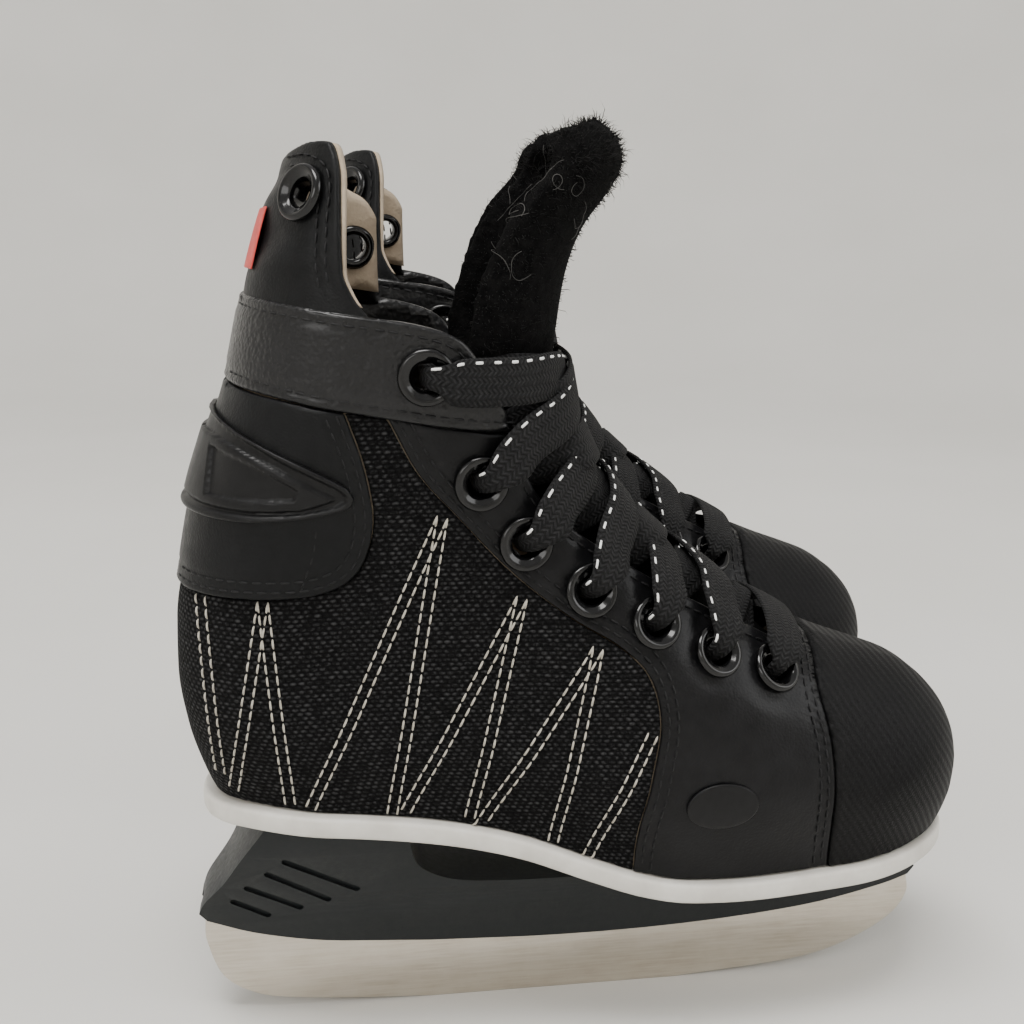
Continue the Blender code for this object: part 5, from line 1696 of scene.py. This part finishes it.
def guard_box(u, v0, v1):
    n = 14
    us, vs = np.linspace(-u, u, n), np.linspace(v0, v1, n)
    return np.vstack([np.column_stack([us, np.full(n, v0)]), np.column_stack([np.full(n, u), vs])[1:],
                      np.column_stack([us[::-1], np.full(n, v1)])[1:], np.column_stack([np.full(n, -u), vs[::-1]])[1:-1]])


label = patch([guard_box(0.27, 0.17, 0.60)], 0.75, 1.1, 0.8, GUARD_FORM, roll=0.3)
piece(label, "rear_patch", RED_PRINT, body="guard", bends=GUARD_BEND)



# ---- sole, insole, holder and runner ----
def ring_at(h, off, count=160):
    """A level loop round the boot, moved out level by off."""
    a = -1 + 2 * np.arange(count) / count
    p, n, _, _ = boot_frame(a, np.full(count, float(h)))
    n = n * [1, 1, 0]
    return p + off * unit(n)


def stack(loops):
    """A closed body from level loops, the first and last capped across."""
    n = len(loops[0])
    faces = []
    for r in range(len(loops) - 1):
        for c in range(n):
            d = (c + 1) % n
            faces.append((r * n + c, r * n + d, (r + 1) * n + d, (r + 1) * n + c))
    for base in (0, (len(loops) - 1) * n):
        for c in range(n // 2):
            loop = [base + c, base + c + 1, base + n - c - 1, base + (n - c) % n]
            loop = list(dict.fromkeys(loop))
            if len(loop) > 2:
                faces.append(tuple(loop))
    return Shape(np.concatenate(loops), faces)


SOLE_PROFILE = [(-3.0, 0), (0.9, 0), (1.7, 0.1), (2.1, 0.45), (2.25, 1.0), (2.3, 2.4), (2.25, 4.0), (2.1, 4.5),
                (1.75, 4.82), (1.1, 4.9), (-3.0, 4.9)]
loops = [ring_at(0.0, off) - [0, 0, GAP + down] for off, down in SOLE_PROFILE]
piece(stack(loops), "sole_foam", SOLE_FOAM, stands_for=("sole",))
loops = [ring_at(h, LINING_IN - off) for h, off in ((0.4, 1.6), (0.5, 1.0), (1.2, 0.8), (3.0, 0.8), (3.5, 1.0),
                                                   (3.6, 1.6))]
piece(stack(loops), "insole_board", BOARD, stands_for=("insole",))


def solid(verts, faces, name):
    mesh = bpy.data.meshes.new(name)
    mesh.from_pydata([tuple(v) for v in np.asarray(verts, float)], [], faces)
    bm = bmesh.new()
    bm.from_mesh(mesh)
    bmesh.ops.recalc_face_normals(bm, faces=bm.faces)
    bm.to_mesh(mesh)
    bm.free()
    ob = bpy.data.objects.new(name, mesh)
    bpy.context.scene.collection.objects.link(ob)
    return ob


def prism(outline, low, high, name="cutter"):
    """A body with one outline in the side view; low and high are y, or functions of z."""
    p = np.asarray(outline, float)
    n = len(p)
    side = lambda w: w(p[:, 1]) if callable(w) else np.full(n, float(w))
    verts = np.concatenate([np.column_stack([p[:, 0], side(low), p[:, 1]]),
                            np.column_stack([p[:, 0], side(high), p[:, 1]])])
    faces = [tuple(range(n)), tuple(range(2 * n - 1, n - 1, -1))]
    for i in range(n):
        j = (i + 1) % n
        faces.append((i, j, n + j, n + i))
    return solid(verts, faces, name)


def cut(ob, cutter, operation):
    step = ob.modifiers.new("cut", "BOOLEAN")
    step.operation = operation
    step.solver = "EXACT"
    step.object = cutter
    apply_modifiers(ob)
    bpy.data.objects.remove(cutter, do_unlink=True)
    return ob


def bevelled(ob, width, segments=3, angle=32):
    bm = bmesh.new()
    bm.from_mesh(ob.data)
    bmesh.ops.remove_doubles(bm, verts=bm.verts, dist=0.01)
    bmesh.ops.dissolve_limit(bm, angle_limit=math.radians(1.0), verts=bm.verts, edges=bm.edges)
    bm.to_mesh(ob.data)
    bm.free()
    step = ob.modifiers.new("round", "BEVEL")
    step.width = width
    step.segments = segments
    step.limit_method = "ANGLE"
    step.angle_limit = math.radians(angle)
    step.harden_normals = True
    return apply_modifiers(ob)


def taken(ob):
    """A finished object's mesh as a shape, and the object gone."""
    mesh = ob.data
    co = np.empty(len(mesh.vertices) * 3)
    mesh.vertices.foreach_get("co", co)
    faces = [tuple(f.vertices) for f in mesh.polygons]
    bpy.data.objects.remove(ob, do_unlink=True)
    return Shape(co.reshape(-1, 3), faces)


def crisp(obs, angle=30):
    """Edges sharper than the angle stay sharp in shading."""
    for ob in obs:
        bm = bmesh.new()
        bm.from_mesh(ob.data)
        for e in bm.edges:
            e.smooth = not (len(e.link_faces) == 2 and e.calc_face_angle(0) > math.radians(angle))
        bm.to_mesh(ob.data)
        bm.free()


def under_sole(x):
    return float(SOLE_TOP(x)) - SOLE_THICK - 2 * GAP - 0.6


REAR = spline([(20, 57), (14, 48.5), (9.5, 41), (4.4, 34.6), (2.8, 31)], 5)
FOOT = spline([(4.6, 28.6), (15.6, 24), (30, 20.6), (45, 19), (65, 17.7), (92, 16.8), (115, 17), (135, 18),
               (152, 19.6), (165, 21.7), (178.5, 25.3), (185, 28)], 4)
NOSE = [(186.3, 30.6), (183.4, 34.6), (180.4, 38.6)]
ROOF = [(x, under_sole(x)) for x in np.arange(178, 108, -3)]
ARCHWAY = spline([(109, 39.6), (103.5, 36.6), (97, 35.3), (78, 35.6), (66, 37), (58.6, 40.6), (55.2, 45.2),
                  (53.4, 54.6)], 6)
REAR_ROOF = [(x, under_sole(x)) for x in np.arange(49, 20, -3)]
SECTION = spline([(4.6, 12), (5.4, 22), (7.6, 31), (12.4, 42), (16.4, 52), (18.4, 66)], 4)
BLADE_EDGE = joined(spline([(3.6, 26), (3.8, 20), (7.6, 10), (16, 4.4), (27, 2.3), (42, 1), (60, 0)], 6),
                    spline([(124, 0), (144, 1.4), (157, 2.7), (167, 5), (177, 9.4), (184, 14.4), (187.4, 20),
                            (187, 25)], 6))
BLADE_TOP = [(180, 30.6), (165, 27), (150, 25), (115, 22.2), (92, 22), (60, 23), (30, 26), (10, 31)]
HOLDER_GROOVES = [((24.2, 47.0), (41.1, 36.2)), ((19.9, 43.2), (34.1, 33.2)), ((14.8, 38.9), (27.2, 31.1)),
                  ((11.3, 34.5), (19.3, 29.3))]


def holder_shape():
    n = len(SECTION)
    verts = []
    for x in (-20.0, 210.0):
        verts += [(x, -w, z) for w, z in SECTION] + [(x, w, z) for w, z in SECTION[::-1]]
    m = 2 * n
    faces = [tuple(range(m)), tuple(range(2 * m - 1, m - 1, -1))]
    faces += [(i, (i + 1) % m, m + (i + 1) % m, m + i) for i in range(m)]
    holder = solid(verts, faces, "holder_block")
    outline = joined(REAR, FOOT, NOSE, ROOF, ARCHWAY, REAR_ROOF)
    cut(holder, prism(outline, -60, 60), "INTERSECT")
    reach = lambda z: np.interp(z, SECTION[:, 1], SECTION[:, 0]) - 1.1
    for a, b in HOLDER_GROOVES:
        a, b = np.array(a), np.array(b)
        t = unit(b - a)
        t0 = math.atan2(t[1], t[0])
        turn = np.linspace(math.pi / 2, 3 * math.pi / 2, 7) + t0
        end = np.column_stack([np.cos(turn), np.sin(turn)]) * 0.85
        slot = joined(a + end, b - end)
        cut(holder, prism(slot, -60, lambda z: -reach(z)), "DIFFERENCE")
        cut(holder, prism(slot, reach, 60), "DIFFERENCE")
    half = BLADE_THICK / 2 + GAP
    top = shifted(BLADE_TOP, -0.4)[1:-1]
    cut(holder, prism(joined([(-5, 15), (193, 15), (193, 34)], top, [(-5, 35)]), -half, half), "DIFFERENCE")
    return taken(bevelled(holder, 0.55))


crisp(piece(holder_shape(), "holder_moulding", PLASTIC, stands_for=("blade_holder",), bend=False),
      50)
runner = prism(joined(BLADE_EDGE, BLADE_TOP), -BLADE_THICK / 2, BLADE_THICK / 2)
crisp(piece(taken(bevelled(runner, 0.3, 2, 50)), "runner", STEEL, stands_for=("blade",), bend=False),
      50)
